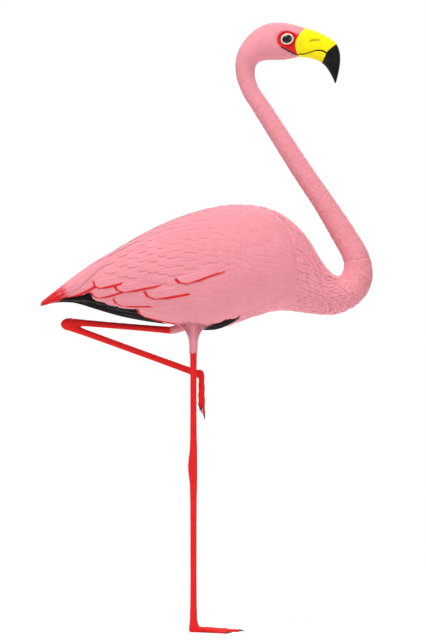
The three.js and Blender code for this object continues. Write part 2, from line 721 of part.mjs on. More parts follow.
// The standing leg.
addPart(
  'shank_right',
  shaft(standingPoint(STANDING.thighEnd - GAP), standingPoint(STANDING.hockTop + GAP)),
  MATERIALS.legs,
);
addPart('hock_right', standingHock(), MATERIALS.legs);
addPart(
  'tarsus_right',
  shaft(standingPoint(STANDING.hockBottom - GAP), standingPoint(STANDING.ankle + GAP)),
  MATERIALS.legs,
);
addPart('foot_right', without(standingFoot(), ...TOES.map((toe) => standingClaw(toe, GAP))), MATERIALS.legs);
for (const toe of TOES) {
  addPart(`claw_right_${toe.name}`, standingClaw(toe).intersect(aboveGround), MATERIALS.claw);
}

// The folded leg.
const hockCutter = ellipsoid(FOLDED.hock, FOLDED.hockSize, GAP);
const palmCutter = ellipsoid(PALM.centre, PALM.half, GAP);
const shifted = (point, shift) => point.map((value, axis) => value + shift[axis]);
const foldedShank = shaft(
  shifted(FOLDED.thigh.at(-1), [-1.5 * GAP, 0, 0]),
  shifted(FOLDED.hock, FOLDED.shankInHock),
);
const foldedTarsus = shaft(shifted(FOLDED.tarsusStart, FOLDED.tarsusInHock), FOLDED.tarsusEnd);
const hangingClaws = HANGING_TOES.map((toe) => hangingClaw(toe, GAP));
addPart('shank_left', without(foldedShank, hockCutter, foldedThigh(GAP)), MATERIALS.legs);
addPart('hock_left', ellipsoid(FOLDED.hock, FOLDED.hockSize), MATERIALS.legs);
addPart('tarsus_left', without(foldedTarsus, hockCutter, palmCutter), MATERIALS.legs);
addPart('foot_left', without(hangingFoot(), ...hangingClaws), MATERIALS.legs);
for (const toe of HANGING_TOES) {
  addPart(`claw_left_${toe.name}`, hangingClaw(toe), MATERIALS.claw);
}

export default flamingo;
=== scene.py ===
"""A resting puna flamingo: skin, feathers, eyes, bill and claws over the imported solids."""

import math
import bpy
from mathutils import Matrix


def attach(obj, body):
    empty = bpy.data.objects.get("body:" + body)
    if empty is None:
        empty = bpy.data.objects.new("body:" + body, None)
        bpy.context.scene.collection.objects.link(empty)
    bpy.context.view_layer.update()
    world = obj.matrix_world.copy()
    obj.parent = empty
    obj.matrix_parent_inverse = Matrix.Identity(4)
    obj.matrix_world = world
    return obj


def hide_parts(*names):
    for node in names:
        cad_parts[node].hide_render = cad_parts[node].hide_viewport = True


bl_info = {
    "name": "Resting Flamingo",
    "version": (1, 0, 0),
    "blender": (4, 5, 0),
    "location": "View3D > Sidebar > Flamingo",
    "description": "Dresses a life-size puna flamingo in skin, feathers, eyes, bill and claws",
    "category": "Add Mesh",
}

import bpy
import numpy as np
from bpy.props import FloatProperty, FloatVectorProperty, IntProperty, PointerProperty

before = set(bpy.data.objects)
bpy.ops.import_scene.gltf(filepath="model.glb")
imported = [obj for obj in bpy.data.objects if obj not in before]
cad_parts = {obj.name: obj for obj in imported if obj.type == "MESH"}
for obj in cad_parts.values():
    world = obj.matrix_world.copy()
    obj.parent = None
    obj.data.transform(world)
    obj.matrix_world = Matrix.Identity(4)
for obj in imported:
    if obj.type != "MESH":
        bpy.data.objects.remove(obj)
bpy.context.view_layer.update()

MM = 0.001  # the forms below are worked out in millimetres
SIDES = {"right": -1, "left": 1}

# Sections through the plumage, tail to bill: [x, z] at the back, [x, z] at the belly and half
# width, in millimetres. They are the solids' own sections, which the feather tips end at.
SECTIONS = {
    "tail tip": ((-230, 493), (-230, 489.5), 2.2),
    "tail fan": ((-206, 511), (-208, 496), 10),
    "tail base": ((-182, 529), (-184, 499), 17.5),
    "vent": ((-155, 548), (-155, 491), 26.5),
    "rump": ((-118, 571), (-118, 480), 38),
    "loin": ((-73, 597), (-73, 470), 50),
    "hips": ((-20, 622), (-20, 459), 58),
    "back": ((32, 638), (32, 454), 62),
    "shoulders": ((85, 641), (85, 471), 61),
    "mantle": ((127, 630), (124, 482), 56),
    "breast": ((164, 600), (158, 480), 47),
    "neck root": ((187, 564), (187, 476), 38),
    "crop": ((200, 542), (212, 476), 31),
    "bend low": ((209, 534), (239, 486), 27),
    "bend front": ((217, 532), (258, 503), 24.5),
    "bend rise": ((223, 538), (268, 525), 22.5),
    "neck foot": ((226, 549), (268, 549), 21),
    "neck 1": ((223, 562), (262, 570), 19.5),
    "neck 2": ((211, 584), (242, 604), 18),
    "neck 3": ((183, 633), (210, 651), 16.5),
    "neck 4": ((151, 682), (177, 698), 15.5),
    "neck 5": ((121, 730), (145, 746), 14.5),
    "neck 6": ((91, 779), (114, 793), 13.5),
    "neck 7": ((74, 806), (97, 818), 13.2),
    "nape low": ((66, 826), (92, 834), 13.8),
    "nape": ((62.5, 848), (92.5, 846.5), 16.2),
    "occiput": ((65.5, 868), (96.5, 853.5), 19.4),
    "crown rear": ((77.5, 889), (104.5, 857), 22),
    "crown": ((95.5, 905.5), (113.5, 858), 23.6),
    "crown front": ((115.5, 913.5), (124.5, 858), 24),
    "brow": ((135.5, 914), (137, 858.5), 22.9),
    "forehead": ((152.5, 910.5), (148, 860.5), 19.8),
    "bill base": ((168.1, 906.2), (157.1, 862.6), 16.3),
}
ROUNDNESS = 2.15  # exponent of the sections' outline: 2 is an ellipse

# Depth of the coat from the skin to the feather tips, in millimetres.
COAT_DEPTH = {
    "tail tip": 0.8, "tail fan": 2.6, "vent": 4.2, "rump": 5.0, "crop": 4.6, "neck foot": 3.6,
    "neck 1": 3.0, "neck 4": 2.4, "nape low": 2.0, "crown rear": 1.5, "brow": 1.1, "bill base": 0.5,
}

# The bill: culmen, keel and half width, forehead to tip, from the middle of the skull.
SKULL = np.array([119.0, 0.0, 886.5])
BILL_SECTIONS = [
    ((49.5, 19.5), (38.5, -23.7), 15.9),
    ((59, 17), (46.5, -24.6), 15.3),
    ((69.5, 13), (55.5, -25.7), 14.7),
    ((79.5, 8), (62.5, -27.5), 14.2),
    ((88.5, 2.5), (68.5, -29.8), 13.8),
    ((95, -4), (73.2, -32.7), 13.1),
    ((99, -12), (77.5, -36.4), 12.2),
    ((101, -21.5), (81.4, -40.9), 10.9),
    ((101, -32), (84.8, -46.1), 9),
    ((99.6, -42.5), (88, -51.8), 6.7),
    ((97.2, -53.3), (91, -58), 4.3),
    ((95.2, -61.6), (93.2, -63.6), 1.9),
]
MOUTH_LINE = [
    (31.5, -21.5), (39, -20.5), (47, -20), (56, -17.5), (65, -15), (74, -15.5), (82, -20.5),
    (87.5, -29), (90.7, -39), (92.4, -49.5), (92.4, -57), (89.5, -67),
]
BILL_ROUNDNESS = 2.3

EYE = np.array([140.0, 14.0, 888.0])  # the left one
EYE_RADIUS = 11.5
LID_HALF = (10.0, 8.4)  # half length and half height of the opening between the lids
LID_TILT = math.radians(16.0)  # how far the front corner of the eye is raised
LID_FOLDS = [(-0.55, 1.27, 0.07), (0.4, 1.44, 0.08), (-0.3, 1.6, 0.06)]  # height, reach, width
FACE_RING = (15.5, 13.5)  # half length and half height of the bare skin round the eye
LORES_TOP = [(-9, -3), (-1, -3), (0, 13), (16, 7.5)]  # upper edge of the bare skin before the eye
MOUTH_CREASE = [
    (120, 883), (126, 879.4), (131, 876.4), (138, 872.6), (145, 869), (151, 866.4), (158, 864.8),
]
HORN_BULGE = 9.6  # how far the rear edge of the horn bulges back towards the eye
CHIN = 850.0  # the neck's foot is as far forward as the bill, but below this height

# The folded wing, in degrees round the sections from the back.
WING_UPPER, WING_LOWER, WING_BEND = 17.0, 144.0, 92.0
WING_FRONT, WING_NOSE = 9.75, 2.1  # in sections: its front, and how long its round front is
WING_THICK, WING_TIP_THICK, WING_EDGE = 9.0, 3.2, 0.36

HIP_SIDE, HIP_HEIGHT = 20.0, 480.0
THIGH_START, THIGH_END = 474.0, 428.0  # heights of the standing leg's feathered part
FOLDED_THIGH = [(12, 22, 476), (-2, 22, 466), (-16, 22, 458), (-34, 22, 452.5), (-52, 21.7, 453.5)]
LEG_DEEP, LEG_WIDE = 4.7, 4.2  # half the bare leg's depth and width
LEG_VOXEL, LEG_SWELL = 1.35, 0.25
GROUND_SLACK = 0.4  # points of the feet under this height are set on the ground

FLOOR_RADIUS = 1600.0
LAMPS = {  # place and width in metres, and power in watts
    "key_light": ((-0.7, -1.5, 3.5), 2.2, 100),
    "fill_light": ((2.6, -2.4, 1.2), 2.2, 18),
    "back_light": ((0.6, 1.8, 2.8), 1.6, 30),
}
CAMERA_PLACE, CAMERA_LENS = (0.02925, -6.0, 0.468), 225
# Near black painted as shade in the crease behind the mouth, along the bill's mouth line, in the
# nostrils and inside the mouth.
PAINTED_SHADE_BLACK = [0.01, 0.006, 0.004, 1]


# ------------------------------------------------------------------ numbers and curves
def mix(a, b, share):
    return a + (b - a) * share


def ease(share):
    """0 at the start, 1 at the end and level at both."""
    share = np.clip(share, 0.0, 1.0)
    return share * share * (3 - 2 * share)


def unit(vectors):
    return vectors / np.maximum(np.linalg.norm(vectors, axis=-1, keepdims=True), 1e-9)


def rgb(colour):
    return np.array(colour[:3])


def linear(hex_colour):
    """A colour written as web hex, in the linear values that shaders take."""
    parts = [int(hex_colour[i : i + 2], 16) / 255 for i in (1, 3, 5)]
    return [c / 12.92 if c <= 0.04045 else ((c + 0.055) / 1.055) ** 2.4 for c in parts]


def spline(knots, position):
    """A smooth curve through the knots, at positions counted in knots."""
    knots = np.asarray(knots, float)
    position = np.clip(np.asarray(position, float), 0, len(knots) - 1)
    i = np.minimum(position.astype(int), len(knots) - 2)
    padded = np.vstack([2 * knots[0] - knots[1], knots, 2 * knots[-1] - knots[-2]])
    p0, p1, p2, p3 = near = [padded[i + k] for k in range(4)]
    d0, d1, d2 = (
        np.sqrt(np.linalg.norm(b - a, axis=-1, keepdims=True)) for a, b in zip(near, near[1:])
    )
    m1 = d1 * ((p1 - p0) / d0 - (p2 - p0) / (d0 + d1) + (p2 - p1) / d1)
    m2 = d1 * ((p2 - p1) / d1 - (p3 - p1) / (d1 + d2) + (p3 - p2) / d2)
    t = (position - i)[..., None]
    return p1 + m1 * t + (3 * (p2 - p1) - 2 * m1 - m2) * t**2 + (2 * (p1 - p2) + m1 + m2) * t**3


def distances(points):
    """Distance along a line of points from the first to each."""
    gaps = np.linalg.norm(np.diff(points, axis=0), axis=1)
    return np.concatenate([[0], np.cumsum(gaps)])


def superellipse(centre, up, half, degrees, roundness):
    """Points round a section, where 0 degrees is along up and 90 is to the left."""
    c, s = np.cos(np.radians(degrees)), np.sin(np.radians(degrees))
    points = centre + up * (np.sign(c) * np.abs(c) ** (2 / roundness))[..., None]
    points[..., 1] += half * np.sign(s) * np.abs(s) ** (2 / roundness)
    return points


# ------------------------------------------------------------------ the plumage's form
NAMES = list(SECTIONS)
BACK_LINE = np.array([(back[0], half, back[1]) for back, belly, half in SECTIONS.values()])
BELLY_LINE = np.array([(belly[0], half, belly[1]) for back, belly, half in SECTIONS.values()])


def at(name):
    return NAMES.index(name)


def form(position, angle, grow=0.0):
    """Points on the form, with the position counted in sections and the angle from the back."""
    position, angle, grow = np.broadcast_arrays(
        np.asarray(position, float), np.asarray(angle, float), np.asarray(grow, float)
    )
    back, belly = spline(BACK_LINE, position), spline(BELLY_LINE, position)
    half = (back[..., 1] + belly[..., 1]) / 2
    centre, up = (back + belly) / 2, (back - belly) / 2
    centre[..., 1] = up[..., 1] = 0
    height = np.linalg.norm(up, axis=-1)
    up *= ((height + grow) / height)[..., None]
    return superellipse(centre, up, half + grow, angle, ROUNDNESS)


def pace(position, angle):
    """Millimetres on the form for one section along and for one degree round."""
    along = form(position + 0.03, angle) - form(position - 0.03, angle)
    around = form(position, angle + 1) - form(position, angle - 1)
    return np.linalg.norm(along, axis=-1) / 0.06, np.linalg.norm(around, axis=-1) / 2


def wing_round(position):
    share = np.clip((position - (WING_FRONT - WING_NOSE)) / WING_NOSE, 0, 1)
    return np.sqrt(np.maximum(1 - share**2, 0.03))


def wing_edges(position):
    """Upper and lower edge of the folded wing, in degrees round the section."""
    open_edge = WING_UPPER * ease((position - at("loin")) / 3)
    upper = mix(WING_BEND, open_edge, wing_round(position))
    lower = mix(WING_BEND, WING_LOWER, wing_round(position))
    return upper, lower


def wing_lift(position, angle):
    """How far the folded wing stands off the form."""
    upper, lower = wing_edges(position)
    share = np.clip((np.abs(angle) - upper) / np.maximum(lower - upper, 1), 0, 1)
    full = mix(WING_TIP_THICK, WING_THICK, ease(position / at("loin")))
    edge = mix(0.06, WING_EDGE, ease(share / 0.6))
    return full * mix(edge, 1, np.sin(np.pi * share) ** 0.8) * mix(0.1, 1, wing_round(position))


def under_wing(position, angle, margin=9.0):
    """1 under the folded wing, 0 clear of it."""
    upper, lower = wing_edges(position)
    inside = ease((np.abs(angle) - upper + 2) / margin) * ease((lower - np.abs(angle) + 2) / margin)
    return inside * ease((WING_FRONT - position) / 0.5)


def quill_lift(position):
    return mix(1.4, 4.6, ease(position / 3))


def coat_depth(position):
    return np.interp(position, [at(name) for name in COAT_DEPTH], list(COAT_DEPTH.values()))


def skin_level(position, angle):
    """Height of the skin over the form. Under the wing it is the wing's own flesh."""
    points = form(position, angle)
    bare = np.maximum(bare_face(points), 1.6 * bill_base(points))
    flesh = np.minimum(wing_lift(position, angle) - 6.0, 1.0)
    return mix(-coat_depth(position) * (1 - 0.9 * bare), flesh, under_wing(position, angle))


# ------------------------------------------------------------------ markings
def from_eye(points):
    """Places in the side view from the middle of the eye."""
    return points[..., 0] - EYE[0], points[..., 2] - EYE[2]


def eye_reach(points):
    """Distance from the eye's middle in the side view: 1 is the edge of the lids."""
    x, z = from_eye(points)
    c, s = math.cos(LID_TILT), math.sin(LID_TILT)
    return np.hypot((c * x + s * z) / LID_HALF[0], (c * z - s * x) / LID_HALF[1])


def mouth_fold(points):
    """Height over the crease that runs back from the corner of the mouth, below the eye."""
    return points[..., 2] - np.interp(points[..., 0], *zip(*MOUTH_CREASE))


def bill_base(points):
    """1 on the horn at the base of the bill."""
    (top_x, top), (bottom_x, bottom), half = SECTIONS["bill base"]
    share = np.clip((top - points[..., 2]) / (top - bottom), 0, 1)
    edge = mix(top_x, bottom_x, share) - HORN_BULGE * np.sin(np.pi * share)
    return ease(points[..., 0] - edge + 0.5) * (points[..., 2] > CHIN)


def bare_face(points):
    """1 on the bare skin round the eye and forward to the bill, above the crease."""
    x, z = from_eye(points)
    ring = np.hypot(x / FACE_RING[0], (z + 0.5) / FACE_RING[1])
    round_eye = 1 - ease((ring - 0.93) / 0.12)
    top = np.interp(x, *zip(*LORES_TOP))
    lores = ease((x + 10) / 2) * ease((top - z) / 1.5 + 0.5)
    return np.maximum(round_eye, lores) * ease((mouth_fold(points) + 0.8) / 1.6)


def crimson_tail(points):
    return ease((-193 - 0.5 * (points[..., 2] - 508) - points[..., 0]) / 5 + 0.5)


def plumage_colour(points, colours, tone):
    """Pink, a little paler on the head, crimson at the tip of the tail. Tone runs from -1 to 1."""
    head = ease((points[..., 2] - 700) / 180)
    share = np.clip(0.3 + 0.25 * tone + 0.2 * head, 0, 1)[..., None]
    pink = mix(rgb(colours.pink), rgb(colours.pale_pink), share)
    return mix(pink, rgb(colours.crimson), crimson_tail(points)[..., None])


# ------------------------------------------------------------------ meshes
def mesh_object(name, points, faces):
    """A smooth mesh object from points in millimetres and faces as lists of corners."""
    mesh = bpy.data.meshes.new(name)
    mesh.from_pydata((np.asarray(points) * MM).tolist(), [], faces)
    mesh.validate()
    mesh.shade_smooth()
    obj = bpy.data.objects.new(name, mesh)
    bpy.context.scene.collection.objects.link(obj)
    return obj


def grid_faces(rows, around, ring=False):
    """Faces of a grid of points that closes on itself around, and end to end if it is a ring."""
    i, j = np.meshgrid(np.arange(rows if ring else rows - 1), np.arange(around), indexing="ij")
    here, after, k = i * around, (i + 1) % rows * around, (j + 1) % around
    return np.stack([here + j, here + k, after + k, after + j], -1).reshape(-1, 4).tolist()


def tube(name, rings):
    """A closed tube through rings of points, with a fan over each end."""
    rings = np.asarray(rings, float)
    rows, around = rings.shape[:2]
    faces = grid_faces(rows, around)
    start, end, last = rows * around, rows * around + 1, (rows - 1) * around
    for j in range(around):
        k = (j + 1) % around
        faces += [[start, k, j], [end, last + j, last + k]]
    points = np.vstack([rings.reshape(-1, 3), rings[0].mean(0), rings[-1].mean(0)])
    return face_outwards(mesh_object(name, points, faces))


def vertex_points(mesh):
    points = np.empty(len(mesh.vertices) * 3, np.float32)
    mesh.vertices.foreach_get("co", points)
    return points.reshape(-1, 3).astype(float) / MM


def face_outwards(obj):
    """The closed mesh object, turned if it was inside out."""
    mesh = obj.data
    mesh.calc_loop_triangles()
    corners = np.empty(len(mesh.loop_triangles) * 3, np.int32)
    mesh.loop_triangles.foreach_get("vertices", corners)
    a, b, c = vertex_points(mesh)[corners.reshape(-1, 3)].transpose(1, 0, 2)
    if np.einsum("ij,ij->i", a, np.cross(b, c)).sum() < 0:
        mesh.flip_normals()
    return obj


def limb(centres, deep, wide, around=24):
    """Rings along a path: deep is fore and aft, wide is sideways."""
    centres = np.asarray(centres, float)
    along = unit(np.gradient(centres, axis=0))
    side = unit(np.array([0.0, 1.0, 0.0]) - along * along[:, 1:2])
    across = np.cross(side, along)
    turn = np.radians(np.arange(around) * 360 / around)[None, :, None]
    deep, wide = (np.broadcast_to(value, len(centres))[:, None, None] for value in (deep, wide))
    fore = across[:, None] * np.cos(turn) * deep
    return centres[:, None] + fore + side[:, None] * np.sin(turn) * wide


def baked(obj):
    """The object with its modifiers applied to its mesh."""
    depsgraph = bpy.context.evaluated_depsgraph_get()
    mesh = bpy.data.meshes.new_from_object(obj.evaluated_get(depsgraph))
    obj.modifiers.clear()
    obj.data = mesh
    return obj


def joined(name, *objects):
    """The meshes of the objects as one object. The objects are removed."""
    points, faces = [], []
    for obj in objects:
        first = len(points)
        points += [v.co[:] for v in obj.data.vertices]
        faces += [[first + k for k in p.vertices] for p in obj.data.polygons]
        bpy.data.objects.remove(obj)
    return mesh_object(name, np.array(points) / MM, faces)


def boolean(obj, other, operation):
    modifier = obj.modifiers.new("join", "BOOLEAN")
    modifier.object, modifier.operation, modifier.solver = other, operation, "MANIFOLD"
    baked(obj)
    bpy.data.objects.remove(other)
    return obj


def store(mesh, name, kind, values, domain="POINT"):
    """Stores values on a mesh: colours, vectors or plain numbers."""
    layer = mesh.attributes.new(name, kind, domain)
    fields = {"FLOAT_COLOR": "color", "FLOAT_VECTOR": "vector", "FLOAT2": "vector"}
    field = fields.get(kind, "value")
    layer.data.foreach_set(field, np.asarray(values).astype(np.float32).ravel())


def rgba(colours):
    return np.concatenate([colours, np.ones((*colours.shape[:-1], 1))], -1)


def finished(obj, nodes=(), material=None):
    """Puts a finished piece in the frame, where it may stand for CAD nodes."""
    if material is not None:
        obj.data.materials.clear()
        obj.data.materials.append(material)
    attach(obj, "root")
    if nodes:
        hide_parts(*nodes)
    return obj


# ------------------------------------------------------------------ skin
def side_angles(count=168):
    """Angles round a section, closer together at the sides of the body than above and below."""
    share = np.arange(count) / count
    return 360 * share - 360 / (4 * np.pi) * 0.45 * np.sin(4 * np.pi * (share - 0.25))


def lid_relief(points, base):
    """Sideways place of the skin near the eye, where it laps the ball as lids, with folds."""
    reach = eye_reach(points)
    x, z = from_eye(points)
    off_axis = np.minimum(x**2 + z**2, EYE_RADIUS**2 - 1)
    ball = EYE[1] + np.sqrt(EYE_RADIUS**2 - off_axis)
    lid = np.maximum(ball + 0.85, base - 2.0) - 2.8 * ease((1.0 - reach) / 0.12)
    y = mix(base, lid, 1 - ease((reach - 1.08) / 0.42))
    for height, place, width in LID_FOLDS:
        y = y + height * np.exp(-(((reach - place) / width) ** 2))
    return np.where((reach > 1.02) & (reach < 1.4), np.maximum(y, ball + 0.5), y)


def lid_rim(side, around=96, section=12, thick=0.7):
    """The soft edge of the lids, round the opening."""
    turn = np.arange(around) * 2 * np.pi / around
    x, z = 1.05 * LID_HALF[0] * np.cos(turn), 1.05 * LID_HALF[1] * np.sin(turn)
    c, s = math.cos(LID_TILT), math.sin(LID_TILT)
    path = np.stack([c * x - s * z, np.sqrt(EYE_RADIUS**2 - x**2 - z**2), s * x + c * z], -1)
    out = unit(path)
    across = np.cross(unit(np.roll(path, -1, 0) - np.roll(path, 1, 0)), out)
    bend = np.arange(section)[None, :, None] * 2 * np.pi / section
    bulge = out[:, None] * np.cos(bend) + across[:, None] * np.sin(bend)
    points = (1.02 * path[:, None] + thick * bulge).reshape(-1, 3) + EYE
    faces = grid_faces(around, section, ring=True)
    return face_outwards(mesh_object("lid_rim", points * [1, side, 1], faces))


def body_skin():
    """The skin from the tail to the bill, inside the feathers by their depth."""
    stops = np.concatenate([
        np.linspace(0.3, at("neck root"), 64, endpoint=False),
        np.linspace(at("neck root"), at("nape"), 70, endpoint=False),
        np.linspace(at("nape"), at("bill base"), 220),
    ])
    position, angle = np.meshgrid(stops, side_angles(), indexing="ij")
    points = form(position, angle, skin_level(position, angle))
    side, off = np.sign(points[..., 1]), np.abs(points[..., 1])
    near_eye = (eye_reach(points) < 2.2) & (position > at("crown rear")) & (off > 8)
    points[..., 1] = np.where(near_eye, side * lid_relief(points, off), points[..., 1])
    # A crease runs back from the corner of the mouth, and fine folds cross the bare face.
    crease = np.exp(-((mouth_fold(points) / 0.9) ** 2)) * ease((points[..., 0] - 127) / 5)
    bare = bare_face(points) * (1 - bill_base(points)) * ease((eye_reach(points) - 1.5) / 0.3)
    folds = 0.18 * np.sin(1.9 * points[..., 2] + 0.8 * points[..., 0]) * bare
    on_head = (position > at("crown")) & (np.abs(points[..., 1]) > 5)
    points[..., 1] += side * np.where(on_head, folds - 1.0 * crease, 0)
    return tube("skin_body", points)


def eye_rings(radius, side, rows=60, around=72):
    """Rings of a ball round the eye's axis, from inside the head outwards."""
    turn = np.linspace(0.04, np.pi - 0.04, rows)
    angle = np.arange(around) * 2 * np.pi / around
    depth, off = -np.cos(turn)[:, None], np.sin(turn)[:, None]
    x, z = off * np.cos(angle), off * np.sin(angle)
    points = np.stack([x, np.broadcast_to(depth, x.shape) * side, z], -1) * radius
    return points + EYE * [1, side, 1]


def thigh_rings(word, shares, around=24, inset=0.0):
    """Rings down the feathered thigh, from the body to the bare shank."""
    if word == "right":
        rise = mix(THIGH_START - THIGH_END, 0.0, shares)
        flare = np.maximum(rise / 42, 0) ** 2.6
        height = THIGH_END + rise
        centres = np.stack([0 * height, -HIP_SIDE * height / HIP_HEIGHT, height], -1)
        deep, wide = LEG_DEEP + 1.6 + 25 * flare, LEG_DEEP + 1.6 + 7 * flare
    else:
        flare = np.maximum(1 - shares, 0) ** 1.8
        centres = spline(FOLDED_THIGH, 3 * shares)
        deep, wide = LEG_DEEP + 0.9 + 10 * flare, LEG_WIDE + 1.2 + 12 * flare
    return limb(centres, deep - inset, wide - inset, around)


def node_copy(node):
    """A merged copy of a CAD node's triangles."""
    obj = bpy.data.objects.new(f"{node}_copy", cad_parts[node].data.copy())
    bpy.context.scene.collection.objects.link(obj)
    weld = obj.modifiers.new("weld", "WELD")
    weld.merge_threshold = 1e-6
    return baked(obj)


def leg_skin(word):
    """Thigh, shank, hock, tarsus and foot of one leg as one smooth skin."""
    thigh = thigh_rings(word, np.linspace(0, 1, 30), inset=2.4)
    inside = thigh[0].mean(0) + (thigh[0] - thigh[0].mean(0)) * 0.7 + np.array([0, 0, 14.0])
    parts = [tube("thigh", np.concatenate([inside[None], thigh]))]
    parts += [node_copy(f"{part}_{word}") for part in ("shank", "hock", "tarsus", "foot")]
    leg = joined(f"leg_{word}", *parts)
    swell = leg.modifiers.new("close the joints", "DISPLACE")
    swell.strength, swell.mid_level = LEG_SWELL * MM, 0
    remesh = leg.modifiers.new("one skin", "REMESH")
    remesh.mode, remesh.voxel_size = "VOXEL", LEG_VOXEL * MM
    soften = leg.modifiers.new("soften", "SMOOTH")
    soften.factor, soften.iterations = 0.5, 4
    baked(leg)
    points = vertex_points(leg.data)
    points[points[:, 2] < GROUND_SLACK, 2] = 0.0
    leg.data.vertices.foreach_set("co", (points * MM).astype(np.float32).ravel())
    return leg


def bare_leg(points):
    """1 on the bare legs and feet, 0 on the body and the feathered thighs."""
    x, y, z = points[..., 0], points[..., 1], points[..., 2]
    standing = 1 - ease((z - 426) / 5)
    folded = ease((-33 - x) / 4) * (np.abs(y - 20.5) < 11) * (z < 466 - 0.06 * (x + 34))
    return np.maximum(standing, folded)


# ------------------------------------------------------------------ nodes
class Out:
    """An output of a node, which takes part in sums as a number does."""

    def __init__(self, node, key=0):
        self.socket, self.tree = node.outputs[key], node.id_data

    def __getitem__(self, key):
        """Another output of the same node."""
        return Out(self.socket.node, key)

    def __add__(self, other):
        return maths("ADD", self, other)

    def __sub__(self, other):
        return maths("SUBTRACT", self, other)

    def __rsub__(self, other):
        return maths("SUBTRACT", other, self)

    def __mul__(self, other):
        return maths("MULTIPLY", self, other)

    def __rtruediv__(self, other):
        return maths("DIVIDE", other, self)

    def __abs__(self):
        return maths("ABSOLUTE", self)

    def into(self, socket):
        self.tree.links.new(self.socket, socket)


def add(tree, kind, inputs=None, **settings):
    """Adds a node and gives its first output. Inputs take numbers, colours or outputs."""
    node = tree.nodes.new(kind)
    for name, value in settings.items():
        setattr(node, name, value)
    for key, value in (inputs or {}).items():
        if isinstance(value, Out):
            value.into(node.inputs[key])
        else:
            node.inputs[key].default_value = value
    return Out(node)


def beside(kind, inputs, **settings):
    """Adds a node to the tree that its inputs come from."""
    tree = next(value.tree for value in inputs.values() if isinstance(value, Out))
    return add(tree, kind, inputs, **settings)


def maths(operation, *values):
    return beside("ShaderNodeMath", dict(enumerate(values)), operation=operation)


def vectors(operation, *values):
    return beside("ShaderNodeVectorMath", dict(enumerate(values)), operation=operation)


def combine(*values):
    return beside("ShaderNodeCombineXYZ", dict(enumerate(values)))


def ramp(value, low, high):
    """0 below low, 1 above high and smooth between."""
    inputs = {"Value": value, "From Min": low, "From Max": high}
    return beside("ShaderNodeMapRange", inputs, interpolation_type="SMOOTHSTEP")


def blend(share, a, b, mode="MIX"):
    return beside("ShaderNodeMix", {0: share, 6: a, 7: b}, data_type="RGBA", blend_type=mode)[2]


def attribute(tree, name):
    return add(tree, "ShaderNodeAttribute", attribute_name=name)


def noise(vector, scale, detail=3.0, roughness=0.5):
    inputs = {"Vector": vector, "Scale": scale, "Detail": detail, "Roughness": roughness}
    return beside("ShaderNodeTexNoise", inputs)["Fac"]


def bump(height, strength, distance, **normal):
    inputs = {"Height": height, "Strength": strength, "Distance": distance, **normal}
    return beside("ShaderNodeBump", inputs)


def new_group(name, inputs, outputs, kind="ShaderNodeTree"):
    """A node group: its sockets are given by name, each with a type and maybe a default."""
    tree = bpy.data.node_groups.new(name, kind)
    for way, sockets in (("INPUT", inputs), ("OUTPUT", outputs)):
        for label, (socket_kind, *default) in sockets.items():
            socket_type = f"NodeSocket{socket_kind}"
            socket = tree.interface.new_socket(label, in_out=way, socket_type=socket_type)
            if default:
                socket.default_value = default[0]
    entry, leave = (tree.nodes.new(f"NodeGroup{way}") for way in ("Input", "Output"))
    return tree, Out(entry), leave.inputs


def barb_group():
    """Barbs, shaft and outline of a vane, from its own map: U runs along it and V across."""
    name = "Feather Barbs"
    if name in bpy.data.node_groups:
        return bpy.data.node_groups[name]
    tree, entry, leave = new_group(name, {
        "Map": ["Vector"], "Barb Count": ["Float", 30.0], "Slant": ["Float", 0.3],
        "Shaft Width": ["Float", 0.07], "Rim Along": ["Float", 0.04], "Rim Across": ["Float", 0.15],
    }, {label: ["Float"] for label in ("Height", "Shaft", "Rim", "Streak")})
    split = add(tree, "ShaderNodeSeparateXYZ", {0: entry["Map"]})
    across = abs(split[1] - 0.5) * 2.0
    slanted = split[0] - across * entry["Slant"]
    shaft = 1.0 - ramp(across, 0.0, entry["Shaft Width"])
    barbs = maths("SINE", slanted * entry["Barb Count"] * (2 * math.pi)) * 0.5
    (barbs + shaft * 1.4).into(leave["Height"])
    shaft.into(leave["Shaft"])

    def edge(value, width):
        return ramp(value, 1.0 - width, 1.0 - width * 0.6)

    low_edge = edge(split[1], entry["Rim Across"]) * ramp(split[0], 0.25, 0.5)
    tip_edge = edge(split[0], entry["Rim Along"]) * ramp(split[1], 0.36, 0.52)
    maths("MAXIMUM", low_edge, tip_edge).into(leave["Rim"])
    noise(combine(slanted * 6.0, split[1] * 1.5), 9.0, 2.0).into(leave["Streak"])
    return tree


def scale_group():
    """Small raised plates, as on bare legs: their height and the dark lines between them."""
    tree, entry, leave = new_group("Leg Scales", {
        "Place": ["Vector"], "Plate Size": ["Float", 2.6], "Height Ratio": ["Float", 1.3],
    }, {"Height": ["Float"], "Line": ["Float"]})
    across = 1000.0 / entry["Plate Size"]
    scale = combine(across, across, across * entry["Height Ratio"])
    place = vectors("MULTIPLY", entry["Place"], scale)
    cells = beside(
        "ShaderNodeTexVoronoi", {"Vector": place, "Scale": 1.0, "Randomness": 0.75},
        feature="DISTANCE_TO_EDGE",
    )["Distance"]
    ramp(cells, 0.0, 0.22).into(leave["Height"])
    (1.0 - ramp(cells, 0.02, 0.12)).into(leave["Line"])
    return tree


def new_material(name, roughness, **sockets):
    """A material with its shader's constant sockets set, and where its patterns are read from."""
    material = bpy.data.materials.new(name)
    material.use_nodes = True
    tree = material.node_tree
    shader = tree.nodes["Principled BSDF"].inputs
    shader["Roughness"].default_value = roughness
    for label, value in sockets.items():
        shader[label.replace("_", " ")].default_value = value
    return material, tree, shader, add(tree, "ShaderNodeTexCoord")["Object"]


